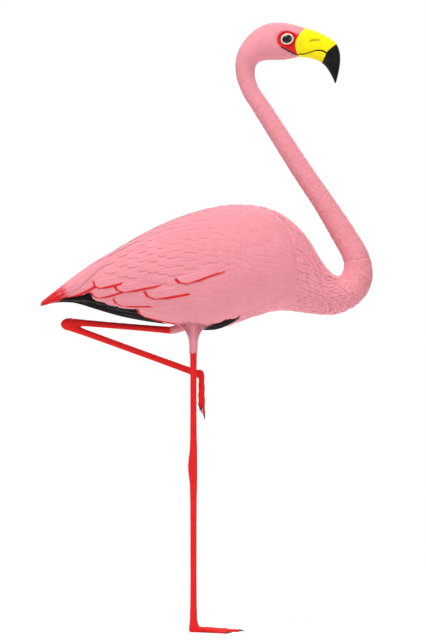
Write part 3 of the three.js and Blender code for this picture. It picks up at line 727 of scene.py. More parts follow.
def skin_material():
    material, tree, shader, place = new_material("Flamingo Skin", 0.5, Specular_IOR_Level=0.2)
    tint, leg = attribute(tree, "Tint"), attribute(tree, "Leg")["Fac"]
    scales = add(tree, "ShaderNodeGroup", {"Place": place}, node_tree=scale_group())
    mottle = noise(place, 90.0, 4.0)
    colour = blend(ramp(mottle, 0.35, 0.7) * 0.12, tint, [0.25, 0.01, 0.02, 1])
    colour = blend(scales["Line"] * leg * 0.38, colour, [0.22, 0.004, 0.006, 1])
    # Painted shade: near black along the crease that runs back from the corner of the mouth.
    crease_shade = ramp(attribute(tree, "Crease")["Fac"], 0.9, 1.3)
    blend(crease_shade, PAINTED_SHADE_BLACK, colour).into(shader["Base Color"])
    (mottle * 0.25 + 0.42).into(shader["Roughness"])
    grain = bump(noise(place, 900.0, 4.0, 0.6), 0.35, 0.0004)
    bump(scales["Height"] * leg, 0.6, 0.0006, Normal=grain).into(shader["Normal"])
    return material


def plumage_material(name, rim_colour, barbs, sheen=0.2, specular=0.2):
    """Feather vanes tinted by their own colour, with barbs, a paler shaft and a coloured rim."""
    material, tree, shader, place = new_material(
        name, 0.72, Specular_IOR_Level=specular, Sheen_Weight=sheen, Sheen_Roughness=0.45,
    )
    tint, rimmed = attribute(tree, "Tint"), attribute(tree, "Rim")["Fac"]
    parts = add(tree, "ShaderNodeGroup", {
        "Map": add(tree, "ShaderNodeUVMap", uv_map="Vane"),
        "Barb Count": barbs,
    }, node_tree=barb_group())
    deep = blend(1.0, tint, [0.9, 0.72, 0.76, 1], "MULTIPLY")
    colour = blend(ramp(parts["Streak"], 0.35, 0.75) * 0.35, tint, deep)
    colour = blend(parts["Shaft"] * 0.4, colour, blend(1.0, tint, [0.25, 0.2, 0.2, 1], "ADD"))
    colour = blend(parts["Rim"] * rimmed, colour, [*rim_colour, 1])
    cloud = ramp(noise(place, 22.0), 0.45, 0.75)
    blend(cloud * 0.12, colour, deep).into(shader["Base Color"])
    bump(parts["Height"], 0.25, 0.0003).into(shader["Normal"])
    return material


# ------------------------------------------------------------------ small feathers
FINE_VANE = ([0.0, 0.3, 0.6, 0.86], [0.14, 0.4, 0.5, 0.36])  # stations, and half width at each
TINY_VANE = ([0.0, 0.45, 0.8], [0.2, 0.46, 0.42])
SIDE_CURL = 0.32  # how far the sides of a vane bend down, for its half width
VANE_LENGTH, VANE_WIDTH = 3.2, 1.55  # for the gap from one feather to the next
VANE_PATCH = 0.003  # how wide a vane's own place on the baking map is


def small_vane(stations, halves):
    """A small feather one long and one wide: root at the origin, pointing along X, face up."""
    stations, halves = np.array(stations), np.array(halves)
    rows = len(stations)
    arch = stations * (1 - stations)
    top = [
        (x, y * h, a + (-SIDE_CURL * h if y else 0.02))
        for x, h, a in zip(stations, halves, arch) for y in (-1, 0, 1)
    ]
    under = [(x, 0, a - 0.05) for x, a in zip(stations, arch)]
    points = np.array(top + under + [(1.0, 0, -0.09)])
    low, end = 3 * rows, 4 * rows
    faces = []
    for i in range(rows - 1):
        a, b = 3 * i, 3 * i + 3
        faces += [[a, b, b + 1, a + 1], [a + 1, b + 1, b + 2, a + 2]]
        faces += [[a, low + i, low + i + 1, b], [low + i, a + 2, b + 2, low + i + 1]]
    a, last = 3 * (rows - 1), low + rows - 1
    faces += [[a, end, a + 1], [a + 1, end, a + 2], [a, last, end], [last, a + 2, end]]
    faces += [[0, 1, low], [1, 2, low]]
    obj = face_outwards(mesh_object("small_feather", points / MM, faces))
    obj.data.set_sharp_from_angle(angle=1.2)
    corners = np.empty(len(obj.data.loops), np.int32)
    obj.data.loops.foreach_get("vertex_index", corners)
    uv = np.stack([points[:, 0], points[:, 1] / (2 * halves.max()) + 0.5], -1)
    store(obj.data, "Vane", "FLOAT2", uv[corners], "CORNER")
    return obj


def coat_tree():
    """Sets a feather on every root, turned, sized and ruffled, with its marks kept."""
    name = "Feather Coat"
    if name in bpy.data.node_groups:
        return bpy.data.node_groups[name]
    tree, entry, leave = new_group(name, {
        "Roots": ["Geometry"], "Feather": ["Object"], "Size Change": ["Float", 0.1],
        "Ruffle": ["Float", 0.08], "Seed": ["Int", 1], "Finish": ["Material"],
    }, {"Coat": ["Geometry"]}, "GeometryNodeTree")

    def named(label):
        inputs = {"Name": label}
        return add(tree, "GeometryNodeInputNamedAttribute", inputs, data_type="FLOAT_VECTOR")

    def scaled(vector, factor):
        return beside("ShaderNodeVectorMath", {0: vector, "Scale": factor}, operation="SCALE")

    def chance(offset, limit):
        low, high = [-value for value in limit], limit
        inputs = {0: low, 1: high, "Seed": entry["Seed"] + offset}
        return beside("FunctionNodeRandomValue", inputs, data_type="FLOAT_VECTOR")

    turn = beside("FunctionNodeAxesToRotation", {0: named("up"), 1: named("lie")},
                  primary_axis="Z", secondary_axis="X")
    ruffle = scaled(chance(1, (1.0, 0.5, 1.0)), entry["Ruffle"])
    wobble = beside("FunctionNodeEulerToRotation", {0: ruffle})
    turn = beside("FunctionNodeRotateRotation", {0: turn, 1: wobble}, rotation_space="LOCAL")
    change = scaled(chance(2, (1.0, 1.0, 1.0)), entry["Size Change"])
    feather = beside("GeometryNodeObjectInfo", {"Object": entry["Feather"]})["Geometry"]
    placed = beside("GeometryNodeInstanceOnPoints", {
        "Points": entry["Roots"], "Instance": feather, "Rotation": turn,
        "Scale": vectors("MULTIPLY", named("size"), vectors("ADD", change, (1, 1, 1))),
    })
    real = beside("GeometryNodeRealizeInstances", {0: placed})
    patch = scaled(vectors("SUBTRACT", named("Vane"), (0.5, 0.5, 0)), VANE_PATCH)
    mapped = beside("GeometryNodeStoreNamedAttribute", {
        "Geometry": real, "Name": "OFBake", "Value": vectors("ADD", named("root_uv"), patch),
    }, data_type="FLOAT2", domain="CORNER")
    inputs = {"Geometry": mapped, "Material": entry["Finish"]}
    beside("GeometryNodeSetMaterial", inputs).into(leave["Coat"])
    return tree


ROOT_MARKS = {name: "FLOAT_VECTOR" for name in ("up", "lie", "root_uv", "size")}


def grow_coat(name, roots, vane, material, seed, ruffle):
    """A coat piece of small feathers on the given roots."""
    feather = small_vane(*vane)
    obj = mesh_object(name, roots["place"], [])
    for label, kind in {**ROOT_MARKS, "Tint": "FLOAT_COLOR"}.items():
        store(obj.data, label, kind, roots[label])
    modifier = obj.modifiers.new("coat", "NODES")
    modifier.node_group = coat_tree()
    values = {"Feather": feather, "Seed": seed, "Ruffle": ruffle, "Finish": material}
    for item in modifier.node_group.interface.items_tree:
        if item.name in values:
            modifier[item.identifier] = values[item.name]
    baked(obj)
    for label in ROOT_MARKS:
        obj.data.attributes.remove(obj.data.attributes[label])
    bpy.data.objects.remove(feather)
    return finished(obj)


def root_marks(root, end, up, width, rise, place, tint):
    """What feathers need that grow from the roots to the ends, with a place for each on a map."""
    size = np.stack([np.linalg.norm(end - root, axis=1), width, rise], -1)
    place = np.stack([*place, 0 * width], -1)
    return {
        "place": root, "lie": unit(end - root), "up": up, "size": size * MM,
        "root_uv": place * [0.98, 0.98, 0] + [0.01, 0.01, 0], "Tint": rgba(tint),
    }


def roots_on_form(start, stop, spacing, keep, colours, seed):
    """Staggered roots on the form between two sections, with all that their feathers need."""
    chance = np.random.default_rng(seed)
    fine = np.linspace(start, stop, 400)
    run = distances((form(fine, 60.0) + form(fine, 120.0)) / 2)
    steps, where = [start], 0.0
    while where < run[-1]:
        where += 0.9 * spacing(steps[-1])
        steps.append(np.interp(where, run, fine))
    turn = np.linspace(0, 360, 181)
    positions, angles = [], []
    for row, position in enumerate(steps[:-1]):
        around = distances(form(position, turn))
        count = max(6, round(around[-1] / spacing(position)))
        share = (np.arange(count) + 0.5 * (row % 2) + chance.uniform(-0.13, 0.13, count)) / count
        angles.append(np.interp(share * around[-1] % around[-1], around, turn))
        stray = chance.uniform(-0.12, 0.12, count)
        positions.append(position + stray * (steps[row + 1] - position))
    position = np.clip(np.concatenate(positions), 0.02, at("bill base") - 0.02)
    angle = (np.concatenate(angles) + 180) % 360 - 180
    kept = keep(position, angle)
    position, angle = position[kept], angle[kept]
    gap = spacing(position)
    tip = np.maximum(position - VANE_LENGTH * gap / pace(position, angle)[0], 0.0)
    root = form(position, angle, skin_level(position, angle) - 0.15)
    end = form(tip, angle, -0.12)
    around = unit(form(position, angle + 1) - form(position, angle - 1))
    up = unit(np.cross(around, unit(end - root)))
    rise = 0.9 * coat_depth(position) + 0.05 * np.linalg.norm(end - root, axis=1)
    tone = chance.normal(0, 0.3, len(position)).clip(-1, 1)
    place = ((angle + 180) / 360, (position - start) / (stop - start))
    tint = plumage_colour(end, colours, tone)
    return root_marks(root, end, up, VANE_WIDTH * gap, rise, place, tint)


def roots_on_thigh(word, colours, seed, rows=17, columns=22, around=96):
    """Roots on the thigh, whose lowest feathers end on the bare shank."""
    chance = np.random.default_rng(seed)
    row, column = np.meshgrid(np.arange(rows), np.arange(columns), indexing="ij")
    shares = np.linspace(0, 0.97 if word == "right" else 0.78, rows)
    skin = thigh_rings(word, shares, around, inset=2.5)
    tips = thigh_rings(word, shares + 0.26, around, inset=0.1)
    turn = (column + 0.5 * (row % 2) + chance.uniform(-0.2, 0.2, row.shape)) / columns % 1
    k = (turn * around).astype(int)
    root, end = skin[row, k].reshape(-1, 3), tips[row, k].reshape(-1, 3)
    lie = unit(end - root)
    row = row.ravel()
    out = root - skin.mean(1)[row]
    up = unit(out - lie * np.sum(out * lie, 1, keepdims=True))
    quarter = np.linalg.norm(skin[:, around // 4] - skin[:, 0], axis=1)[row]
    girth = quarter * math.pi * math.sqrt(2)
    tone = chance.normal(0.1, 0.4, len(row)).clip(-1, 1)
    place, tint = (turn.ravel(), shares[row]), plumage_colour(end, colours, tone)
    return root_marks(root, end, up, 1.9 * girth / columns, 2.6 + 0 * girth, place, tint)


# ------------------------------------------------------------------ large feathers
LANES = np.array([-1, -0.82, -0.45, 0, 0.45, 0.82, 1])
STEPS = np.array([0, 0.16, 0.34, 0.52, 0.7, 0.86, 1])
VANE_THICK = 0.55


def vane_grid(rounding, root_width):
    """Places along (0 to 1) and across (-1 to 1) a large vane that is round at its tip."""
    along = STEPS[:, None] * (1 - rounding * (1 - np.sqrt(1 - LANES**2)))[None]
    across = LANES[None] * mix(root_width, 1, ease(along / 0.5))
    return along, across


def lens_faces():
    """Faces of a vane's top and underside, which share its outline."""
    rows, columns = len(STEPS), len(LANES)
    top = np.arange(rows * columns).reshape(rows, columns)
    under = top.copy()
    inner = (rows - 2, columns - 2)
    under[1:-1, 1:-1] = rows * columns + np.arange(inner[0] * inner[1]).reshape(inner)

    def quads(grid):
        corners = grid[:-1, :-1], grid[1:, :-1], grid[1:, 1:], grid[:-1, 1:]
        return np.stack(corners, -1).reshape(-1, 4)

    return np.concatenate([quads(top), quads(under)[:, ::-1]])


def feather(
    tip, angle, length, width, slope=3.0, sink=4.0, tilt=1.2, rim=0.0, tone=0.0, rounding=0.3
):
    """A large feather: its tip, its size, how it slopes down to the rear and is tucked in."""
    return tip, angle, length, width, slope, sink, tilt, rim, tone, rounding


def lay_feathers(name, word, feathers, lift, paint, node, material):
    """Large feathers that follow the form, each from its tip forward to its root."""
    columns = np.array(feathers, float).T
    tip, angle, length, width, slope, sink, tilt, rim, tone, rounding = columns
    slope, marks, steps = np.radians(slope), [], 20
    p, a = tip, angle
    for _ in range(steps + 1):
        along, around = pace(p, a)
        marks.append((p, a, along, around))
        p = p + length / steps * np.cos(slope) / along
        a = a - length / steps * np.sin(slope) / around
    marks = np.array(marks)
    width, sink, tilt, lean = (column[:, None, None] for column in (width, sink, tilt, slope))
    x, y = (np.array(part) for part in zip(*(vane_grid(r, 0.16) for r in rounding)))
    back = (1 - x) * steps
    i = np.minimum(back.astype(int), steps - 1)
    f = np.arange(len(feathers))[:, None, None]
    p, a, along, around = (mix(marks[i, k, f], marks[i + 1, k, f], back - i) for k in range(4))
    half = y * (width / 2)
    position = np.clip(p + half * np.sin(lean) / along, 0.01, 12)
    degrees = a + np.clip(half * np.cos(lean) / around, -70, 70)
    height = lift(position, degrees) - sink * (1 - x) ** 2.2
    height -= tilt * (0.5 - 0.5 * y) ** 1.3
    height += 0.35 * np.exp(-((y / 0.18) ** 2)) * (1 - 0.7 * x) - 0.5 * x**6
    top = form(position, degrees, height)
    inner = (slice(None), slice(1, -1), slice(1, -1))
    under = form(position[inner], degrees[inner], height[inner] - VANE_THICK)
    points = np.concatenate([grid.reshape(len(tip), -1, 3) for grid in (top, under)], 1)
    points[..., 1] *= SIDES[word]
    faces = lens_faces()
    quads = faces[None] + np.arange(len(tip))[:, None, None] * points.shape[1]
    obj = mesh_object(f"{name}_{word}", points.reshape(-1, 3), quads.reshape(-1, 4).tolist())
    flat = np.stack(np.meshgrid(STEPS, LANES / 2 + 0.5, indexing="ij"), -1)
    uv = np.concatenate([flat.reshape(-1, 2), flat[1:-1, 1:-1].reshape(-1, 2)])[faces.ravel()]
    uv = np.broadcast_to(uv, (len(tip), *uv.shape))
    store(obj.data, "Vane", "FLOAT2", uv, "CORNER")
    place = np.stack([angle / 180, np.clip(p[:, 0, 3] / 10, 0, 1)], -1) * 0.98 + 0.01
    store(obj.data, "OFBake", "FLOAT2", place[:, None] + (uv - 0.5) * VANE_PATCH, "CORNER")
    store(obj.data, "Tint", "FLOAT_COLOR", rgba(paint(points, tone[:, None])))
    store(obj.data, "Rim", "FLOAT", np.broadcast_to(rim[:, None], points.shape[:2]))
    face_outwards(obj)
    obj.data.set_sharp_from_angle(angle=1.2)
    return finished(obj, [f"{node}_{word}"] if node else [], material)


def on_wing(x, z):
    """The section and angle on the wing that show at a place in the side view."""
    stops = np.linspace(0.05, 9.7, 387), np.linspace(2, 178, 353)
    position, angle = np.meshgrid(*stops, indexing="ij")
    points = form(position, angle)
    k = np.argmin(np.hypot(points[..., 0] - x, points[..., 2] - z))
    return position.ravel()[k], angle.ravel()[k]


# Rounded feathers that show as scallops on the rear of the wing: x and z of the tip in the
# side view, length, width, and how many degrees they slope down to the rear.
SCALLOPS = [
    (-199, 500.5, 125, 28, 9), (-154, 504.5, 100, 24, 9), (-121, 496, 120, 25, 1),
    (-84.3, 482, 120, 26, -7), (-150.6, 518, 95, 24, 0), (-119, 512, 130, 26, 3),
    (-73.7, 504, 135, 30, 7), (-28, 522, 150, 27, 12),
]


def wing_feathers(seed):
    """Rows of coverts that grow from the bend of the wing to the long feathers over the tail."""
    chance = np.random.default_rng(seed)
    feathers, position, row = [], 0.95, 0
    while position < WING_FRONT - 0.12:
        size = 1 - ease((position - 2.0) / 7.2)
        along_gap, around_gap = mix(6.5, 20.0, size), mix(6.5, 14.0, size)
        upper, lower = wing_edges(position)
        lower = lower - 17 * np.exp(-(((position - 2.7) / 1.6) ** 2))
        along, around = pace(position, (upper + lower) / 2)
        count = max(2, round((lower - upper) * around / around_gap))
        for column in range(count + 1):
            share = (column + 0.5 * (row % 2) + chance.uniform(-0.12, 0.12)) / count
            angle = mix(upper, lower, share)
            if angle > lower + 2:
                continue
            feathers.append(feather(
                position + chance.uniform(-0.15, 0.15) * along_gap / along, angle,
                along_gap * chance.uniform(2.7, 3.1), around_gap * chance.uniform(1.65, 1.9),
                slope=4 + chance.normal(0, 2.0), sink=mix(3.0, 4.5, size), tilt=mix(0.7, 1.5, size),
                tone=chance.normal(0, 0.2),
            ))
        position += along_gap / along
        row += 1
    return feathers


def scallop_feathers(seed):
    chance = np.random.default_rng(seed)
    feathers = [
        feather(0.7 + 0.35 * k, 100 - 12 * k, 130, 24, slope=10, sink=5.0) for k in range(4)
    ]
    for x, z, length, width, slope in SCALLOPS:
        tip, angle = on_wing(x, z)
        middle = angle - 0.25 * width / pace(tip, angle)[1]
        feathers.append(feather(
            tip, middle, length, width, slope, sink=6.0, tilt=2.2, rim=1.0,
            tone=chance.normal(0, 0.15), rounding=0.24,
        ))
    return feathers


def scallop_lift(position, angle):
    return np.maximum(wing_lift(position, angle) + 0.9, quill_lift(position) + 1.3)


def primary_feathers(seed):
    """Long black feathers along the lower edge of the wing, with shorter ones between."""
    chance = np.random.default_rng(seed)
    feathers = []
    for share in np.linspace(0, 1, 9):
        feathers.append(feather(
            mix(0.22, 2.2, share**1.4), mix(168, 133, share**0.8), mix(190, 150, share), 20,
            slope=mix(4, -3, share), sink=2.4, tone=chance.normal(0, 0.5), rounding=0.16,
        ))
    for k in range(6):
        feathers.append(feather(
            mix(2.6, 4.4, k / 5), mix(169, 147, k % 3 / 2), 90, 20, slope=0, sink=2.2, tilt=1.0,
            tone=chance.normal(0, 0.5), rounding=0.2,
        ))
    return feathers


# ------------------------------------------------------------------ eyes, bill and claws
def eye_material(colours):
    """Ivory iris with fine spokes round a large black pupil, under a wet gloss."""
    material, tree, shader, _ = new_material(
        "Flamingo Eye", 0.08, Coat_Weight=0.3, Coat_Roughness=0.02, Specular_IOR_Level=0.35,
    )
    off = attribute(tree, "Off Axis")["Fac"]
    fibres = noise(attribute(tree, "Spoke")["Vector"], 7.0, 5.0, 0.65)
    iris = blend(ramp(fibres, 0.4, 0.75), [*colours.iris, 1], [0.82, 0.74, 0.58, 1])
    ringed = blend(ramp(off, 1.0, 1.1), iris, [0.08, 0.01, 0.01, 1])
    pupil = 1.0 - ramp(off, 0.745, 0.775)
    blend(pupil, ringed, [0.002, 0.002, 0.002, 1]).into(shader["Base Color"])
    return material


def bill_frame(u):
    """Centre, upward half and half width of the bill at stations from the forehead to the tip."""
    culmen = np.array([(c[0], 0, c[1]) for c, k, h in BILL_SECTIONS]) + SKULL
    keel = np.array([(k[0], 0, k[1]) for c, k, h in BILL_SECTIONS]) + SKULL
    half = np.array([[h] for c, k, h in BILL_SECTIONS])
    top, bottom = spline(culmen, u), spline(keel, u)
    return (top + bottom) / 2, (top - bottom) / 2, spline(half, u)[..., 0]


def mouth_levels(centre, up):
    """How far up each station the mouth line crosses it: -1 at the keel, 1 at the culmen."""
    knots = np.array([(x, 0, z) for x, z in MOUTH_LINE]) + SKULL
    line = spline(knots, np.linspace(0, len(knots) - 1, 600))
    levels = np.full(len(centre), -1.0)
    for row, (middle, rise) in enumerate(zip(centre, up)):
        off = line - middle
        ahead = off[:, 0] * rise[2] - off[:, 2] * rise[0]
        level = off @ rise / (rise @ rise)
        cross = np.flatnonzero((ahead[:-1] * ahead[1:] <= 0) & (np.abs(level[:-1]) < 1.3))
        for k in cross[:1]:
            levels[row] = mix(level[k], level[k + 1], ahead[k] / (ahead[k] - ahead[k + 1]))
    return levels


def bill_half(name, upper, rows=120, arc=73, inner=12):
    """The upper or lower half of the bill, closed along the mouth line with a rounded edge."""
    u = np.concatenate([[0], np.linspace(0, len(BILL_SECTIONS) - 1, rows - 1)])
    centre, up, half = bill_frame(u)
    flush = 1 - ease(u / 0.8)  # the first station is level with the skin that it grows from
    up, half = up * (1 + 0.01 * flush[:, None]), half + 0.62 * flush
    gap = mix(0.3, 0.05, ease((u - 6) / 4)) / np.linalg.norm(up, axis=1)
    level = mouth_levels(centre, up) + (gap if upper else -gap)
    level = np.clip(level, -0.995, 0.97)
    corner = np.degrees(np.arccos(np.sign(level) * np.abs(level) ** (BILL_ROUNDNESS / 2)))
    share = np.linspace(-1, 1, arc)
    angle = share[None] * corner[:, None] if upper else 180 + share[None] * (180 - corner)[:, None]
    middle = np.broadcast_to(centre[:, None], (rows, arc, 3))
    outer = superellipse(middle, up[:, None], half[:, None], angle, BILL_ROUNDNESS)
    side = np.sign(outer[..., 1])
    ends = [np.linalg.norm(outer - outer[:, k, None], axis=-1) for k in (0, -1)]
    lip = 1 - ease((np.minimum(*ends) - 0.75) / 0.4)
    rise = np.cos(np.radians(angle))
    # The nostril, pressed in and also painted dark as shade.
    slit_shade = np.exp(-(((np.abs(share) - 0.62) / 0.04) ** 2))[None] * upper
    slit_shade = slit_shade * ease((u[:, None] - 0.9) / 0.5) * ease((2.9 - u[:, None]) / 0.6)
    outer[..., 1] -= side * np.minimum(0.5 * lip + 1.0 * slit_shade, np.abs(outer[..., 1]) * 0.3)
    inwards = np.linspace(0, 1, inner + 2)[1:-1, None]
    bow = 4 * inwards * (1 - inwards) * (0.16 if upper else -0.1)
    closing = mix(outer[:, -1:], outer[:, :1], inwards) + up[:, None] * bow
    grid = np.concatenate([outer, closing], 1)
    # The first ring is a collar inside the skin.
    middle = grid[0].mean(0)
    grid[0] = middle + 0.93 * (grid[0] - middle) - 1.2 * unit(centre[2] - centre[1])
    obj = tube(name, grid)

    def mark(label, on_outside, on_closing):
        marks = np.empty((rows, arc + inner))
        marks[:, :arc], marks[:, arc:] = on_outside, on_closing
        store(obj.data, label, "FLOAT", [*marks.ravel(), marks[0, 0], marks[-1, 0]])

    mark("Along", u[:, None], u[:, None])
    mark("Rise", rise, level[:, None])
    # Painted shade: dark on the rounded edges along the mouth, in the nostrils and over the faces
    # that close the mouth.
    mark("Dark", np.maximum(lip, 0.6 * slit_shade), 1.0)
    return obj


def bill_material(colours):
    """Yellow horn with faint growth lines, a black tip with a soft gloss, and painted shade along
    the mouth and in the nostrils.
    """
    material, tree, shader, place = new_material(
        "Flamingo Bill", 0.36, Specular_IOR_Level=0.14, Coat_Roughness=0.2, Coat_Weight=0.02,
    )
    along, rise, slit_shade = (attribute(tree, name)["Fac"] for name in ("Along", "Rise", "Dark"))
    lines = noise(combine(along * 0.35, rise * 6.0), 4.0, 5.0, 0.6)
    blotch = noise(place, 60.0)
    ochre, straw = [0.86, 0.58, 0.0, 1], [0.95, 0.78, 0.05, 1]
    yellow = blend(ramp(lines, 0.4, 0.75) * 0.4, [*colours.bill_yellow, 1], ochre)
    yellow = blend(ramp(blotch, 0.5, 0.8) * 0.25, yellow, straw)
    edge = along + lines * 0.25 - abs(rise + 0.05) * 0.55
    dark = blend(ramp(blotch, 0.45, 0.8), [*colours.black, 1], [0.02, 0.017, 0.016, 1])
    colour = blend(ramp(edge, 4.55, 4.75), yellow, dark)
    # Painted shade: near black along the mouth, in the nostrils and inside the mouth.
    blend(slit_shade, colour, PAINTED_SHADE_BLACK).into(shader["Base Color"])
    (lines * 0.22 + 0.28).into(shader["Roughness"])
    bump(lines, 0.2, 0.0005).into(shader["Normal"])
    return material


def claw_material():
    """Dark horn with a fine grain."""
    material, tree, shader, place = new_material("Flamingo Claw", 0.35, Specular_IOR_Level=0.5)
    grain = noise(place, 700.0)
    colour = blend(ramp(grain, 0.35, 0.7), [0.012, 0.008, 0.008, 1], [0.05, 0.022, 0.02, 1])
    colour.into(shader["Base Color"])
    bump(grain, 0.2, 0.0003).into(shader["Normal"])
    return material


def claw(name, node):
    """A smooth curved claw where the CAD one is, from its root to its point."""
    points = vertex_points(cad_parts[node].data)
    middle = points.mean(0)
    axis = np.linalg.svd(points - middle, full_matrices=False)[2][0]
    spread = (points - middle) @ axis
    ends = [points[spread < spread.min() + 1.0], points[spread > spread.max() - 1.0]]
    widths = [np.linalg.norm(end - end.mean(0), axis=1).max() for end in ends]
    root, tip = (ends[k].mean(0) for k in np.argsort(widths)[::-1])
    share = np.linspace(0, 1, 14)
    centres = mix(root, tip, share[:, None])
    radius = max(widths) * (1 - share**1.6) * 0.92 + 0.28
    centres[:, 2] = np.maximum(centres[:, 2] + 0.7 * np.sin(np.pi * share), 0.8 * radius)
    return tube(name, limb(centres, 0.8 * radius, 0.8 * radius, 16))


# ------------------------------------------------------------------ settings
def colour_property(name, description, hex_colour):
    return FloatVectorProperty(
        name=name, description=description, default=linear(hex_colour), size=3, min=0, max=1,
        subtype="COLOR",
    )


class FlamingoColours(bpy.types.PropertyGroup):
    """Colours of the plumage, skin, bill and eyes"""

    pink: colour_property("Pink", "Main colour of the plumage", "#df8893")
    pale_pink: colour_property("Pale Pink", "Colour of the paler feathers", "#eda1ab")
    crimson: colour_property("Crimson", "Colour of the tail and of the rims on the wing", "#d3121c")
    black: colour_property("Black", "Colour of the flight feathers and the bill's tip", "#0b0a0b")
    face_red: colour_property("Face Red", "Colour of the bare skin round the eye", "#d81c20")
    leg_red: colour_property("Leg Red", "Colour of the bare legs and feet", "#ee1a18")
    bill_yellow: colour_property("Bill Yellow", "Colour of the bill behind its tip", "#f7e600")
    iris: colour_property("Iris", "Colour of the ring round the pupil", "#f5efe2")


def gap_property(name, description, millimetres):
    return FloatProperty(
        name=name, description=description, default=millimetres * MM, min=0.001, max=0.02,
        unit="LENGTH", subtype="DISTANCE",
    )


class FlamingoPlumage(bpy.types.PropertyGroup):
    """Distance from one small feather to the next, and how they lie"""

    head_gap: gap_property("Head Gap", "Distance between the feathers of the head", 2.1)
    neck_gap: gap_property("Neck Gap", "Distance between the feathers of the neck", 2.9)
    bend_gap: gap_property("Bend Gap", "Distance between the feathers at the foot of the neck", 3.7)
    breast_gap: gap_property("Breast Gap", "Distance between the feathers of the breast", 4.6)
    trunk_gap: gap_property("Trunk Gap", "Distance between the feathers of the back and belly", 6.0)
    ruffle: FloatProperty(
        name="Ruffle", description="How unevenly the small feathers lie", default=0.035, min=0,
        max=0.5, unit="ROTATION", subtype="ANGLE",
    )
    seed: IntProperty(
        name="Seed", description="Picks one arrangement of the feathers", default=7, min=0,
    )


# ------------------------------------------------------------------ operators
class BuildStep:
    """Builds its pieces with the settings of the scene."""

    def execute(self, context):
        self.build(context.scene.flamingo_colours, context.scene.flamingo_plumage)
        return {"FINISHED"}


class FLAMINGO_OT_stage(BuildStep, bpy.types.Operator):
    """Round pale floor, soft lights on a white ground and the camera"""

    bl_idname = "flamingo.stage"
    bl_label = "Stage"

    def build(self, colours, plumage):
        scene = bpy.context.scene
        scene.view_settings.view_transform = "Standard"
        turn = np.linspace(0, 2 * math.pi, 96, endpoint=False)
        rim = FLOOR_RADIUS * np.stack([np.cos(turn), np.sin(turn), 0 * turn], -1)
        floor = mesh_object("studio_floor", rim, [range(len(rim))])
        material, tree, shader, place = new_material("Studio Paper", 0.85, Specular_IOR_Level=0.1)
        paper = blend(noise(place, 3.0, 2.0), [0.95, 0.95, 0.95, 1], [0.97, 0.97, 0.965, 1])
        paper.into(shader["Base Color"])
        floor.data.materials.append(material)
        scene.world = bpy.data.worlds.new("Studio Light")
        scene.world.use_nodes = True
        tree = scene.world.node_tree
        seen = tree.nodes["Background"]
        seen.inputs["Color"].default_value = (1, 1, 1, 1)
        light = {"Color": (1, 0.985, 0.98, 1), "Strength": 0.55}
        add(tree, "ShaderNodeMixShader", {
            0: add(tree, "ShaderNodeLightPath")["Is Camera Ray"],
            1: add(tree, "ShaderNodeBackground", light), 2: Out(seen),
        }).into(tree.nodes["World Output"].inputs["Surface"])
        for name, (place, size, power) in LAMPS.items():
            lamp = bpy.data.lights.new(name, "AREA")
            lamp.size, lamp.energy = size, power
            x, y, z = np.array([0.0, 0.0, 0.5]) - np.array(place)
            self.place(lamp, place, (math.atan2(math.hypot(x, y), -z), 0, math.atan2(-x, y)))
        camera = bpy.data.cameras.new("camera")
        camera.lens, camera.sensor_width, camera.clip_end = CAMERA_LENS, 36, 50
        scene.camera = self.place(camera, CAMERA_PLACE, (math.pi / 2, 0, 0))

    def place(self, data, location, rotation):
        obj = bpy.data.objects.new(data.name, data)
        bpy.context.scene.collection.objects.link(obj)
        obj.location, obj.rotation_euler = location, rotation
        return obj


class FLAMINGO_OT_skin(BuildStep, bpy.types.Operator):
    """One skin over the trunk, tail, neck, head and legs"""

    bl_idname = "flamingo.skin"
    bl_label = "Skin"

    def build(self, colours, plumage):
        skin = body_skin()
        for side in SIDES.values():
            boolean(skin, tube("socket", eye_rings(EYE_RADIUS + 0.25, side)), "DIFFERENCE")
            boolean(skin, lid_rim(side), "UNION")
        for word in SIDES:
            boolean(skin, leg_skin(word), "UNION")
        skin.name = "skin"
        mesh = skin.data
        mesh.shade_smooth()
        mesh.set_sharp_from_angle(angle=1.1)
        points = vertex_points(mesh)
        legs = bare_leg(points)
        colour = plumage_colour(points, colours, np.zeros(len(points)))
        lower_rear = (points[:, 2] < 500) & (points[:, 0] < 0) & (legs < 0.5)
        for paint, share in (
            (colours.black, 0.8 * lower_rear), (colours.face_red, bare_face(points)),
            (colours.bill_yellow, bill_base(points)), (colours.leg_red, legs),
        ):
            colour = mix(colour, rgb(paint), share[:, None])
        store(mesh, "Tint", "FLOAT_COLOR", rgba(colour))
        store(mesh, "Leg", "FLOAT", legs)
        # The distance from the mouth's crease, along which the skin material paints shade near
        # black.
        fading = 0.6 * np.maximum(132 - points[:, 0], 0)
        store(mesh, "Crease", "FLOAT", np.abs(mouth_fold(points)) + fading)
        flesh = ("tail", "trunk", "neck", "head", "thigh", "shank", "hock", "tarsus", "foot")
        nodes = [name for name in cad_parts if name.startswith(flesh)]
        finished(skin, nodes, skin_material())


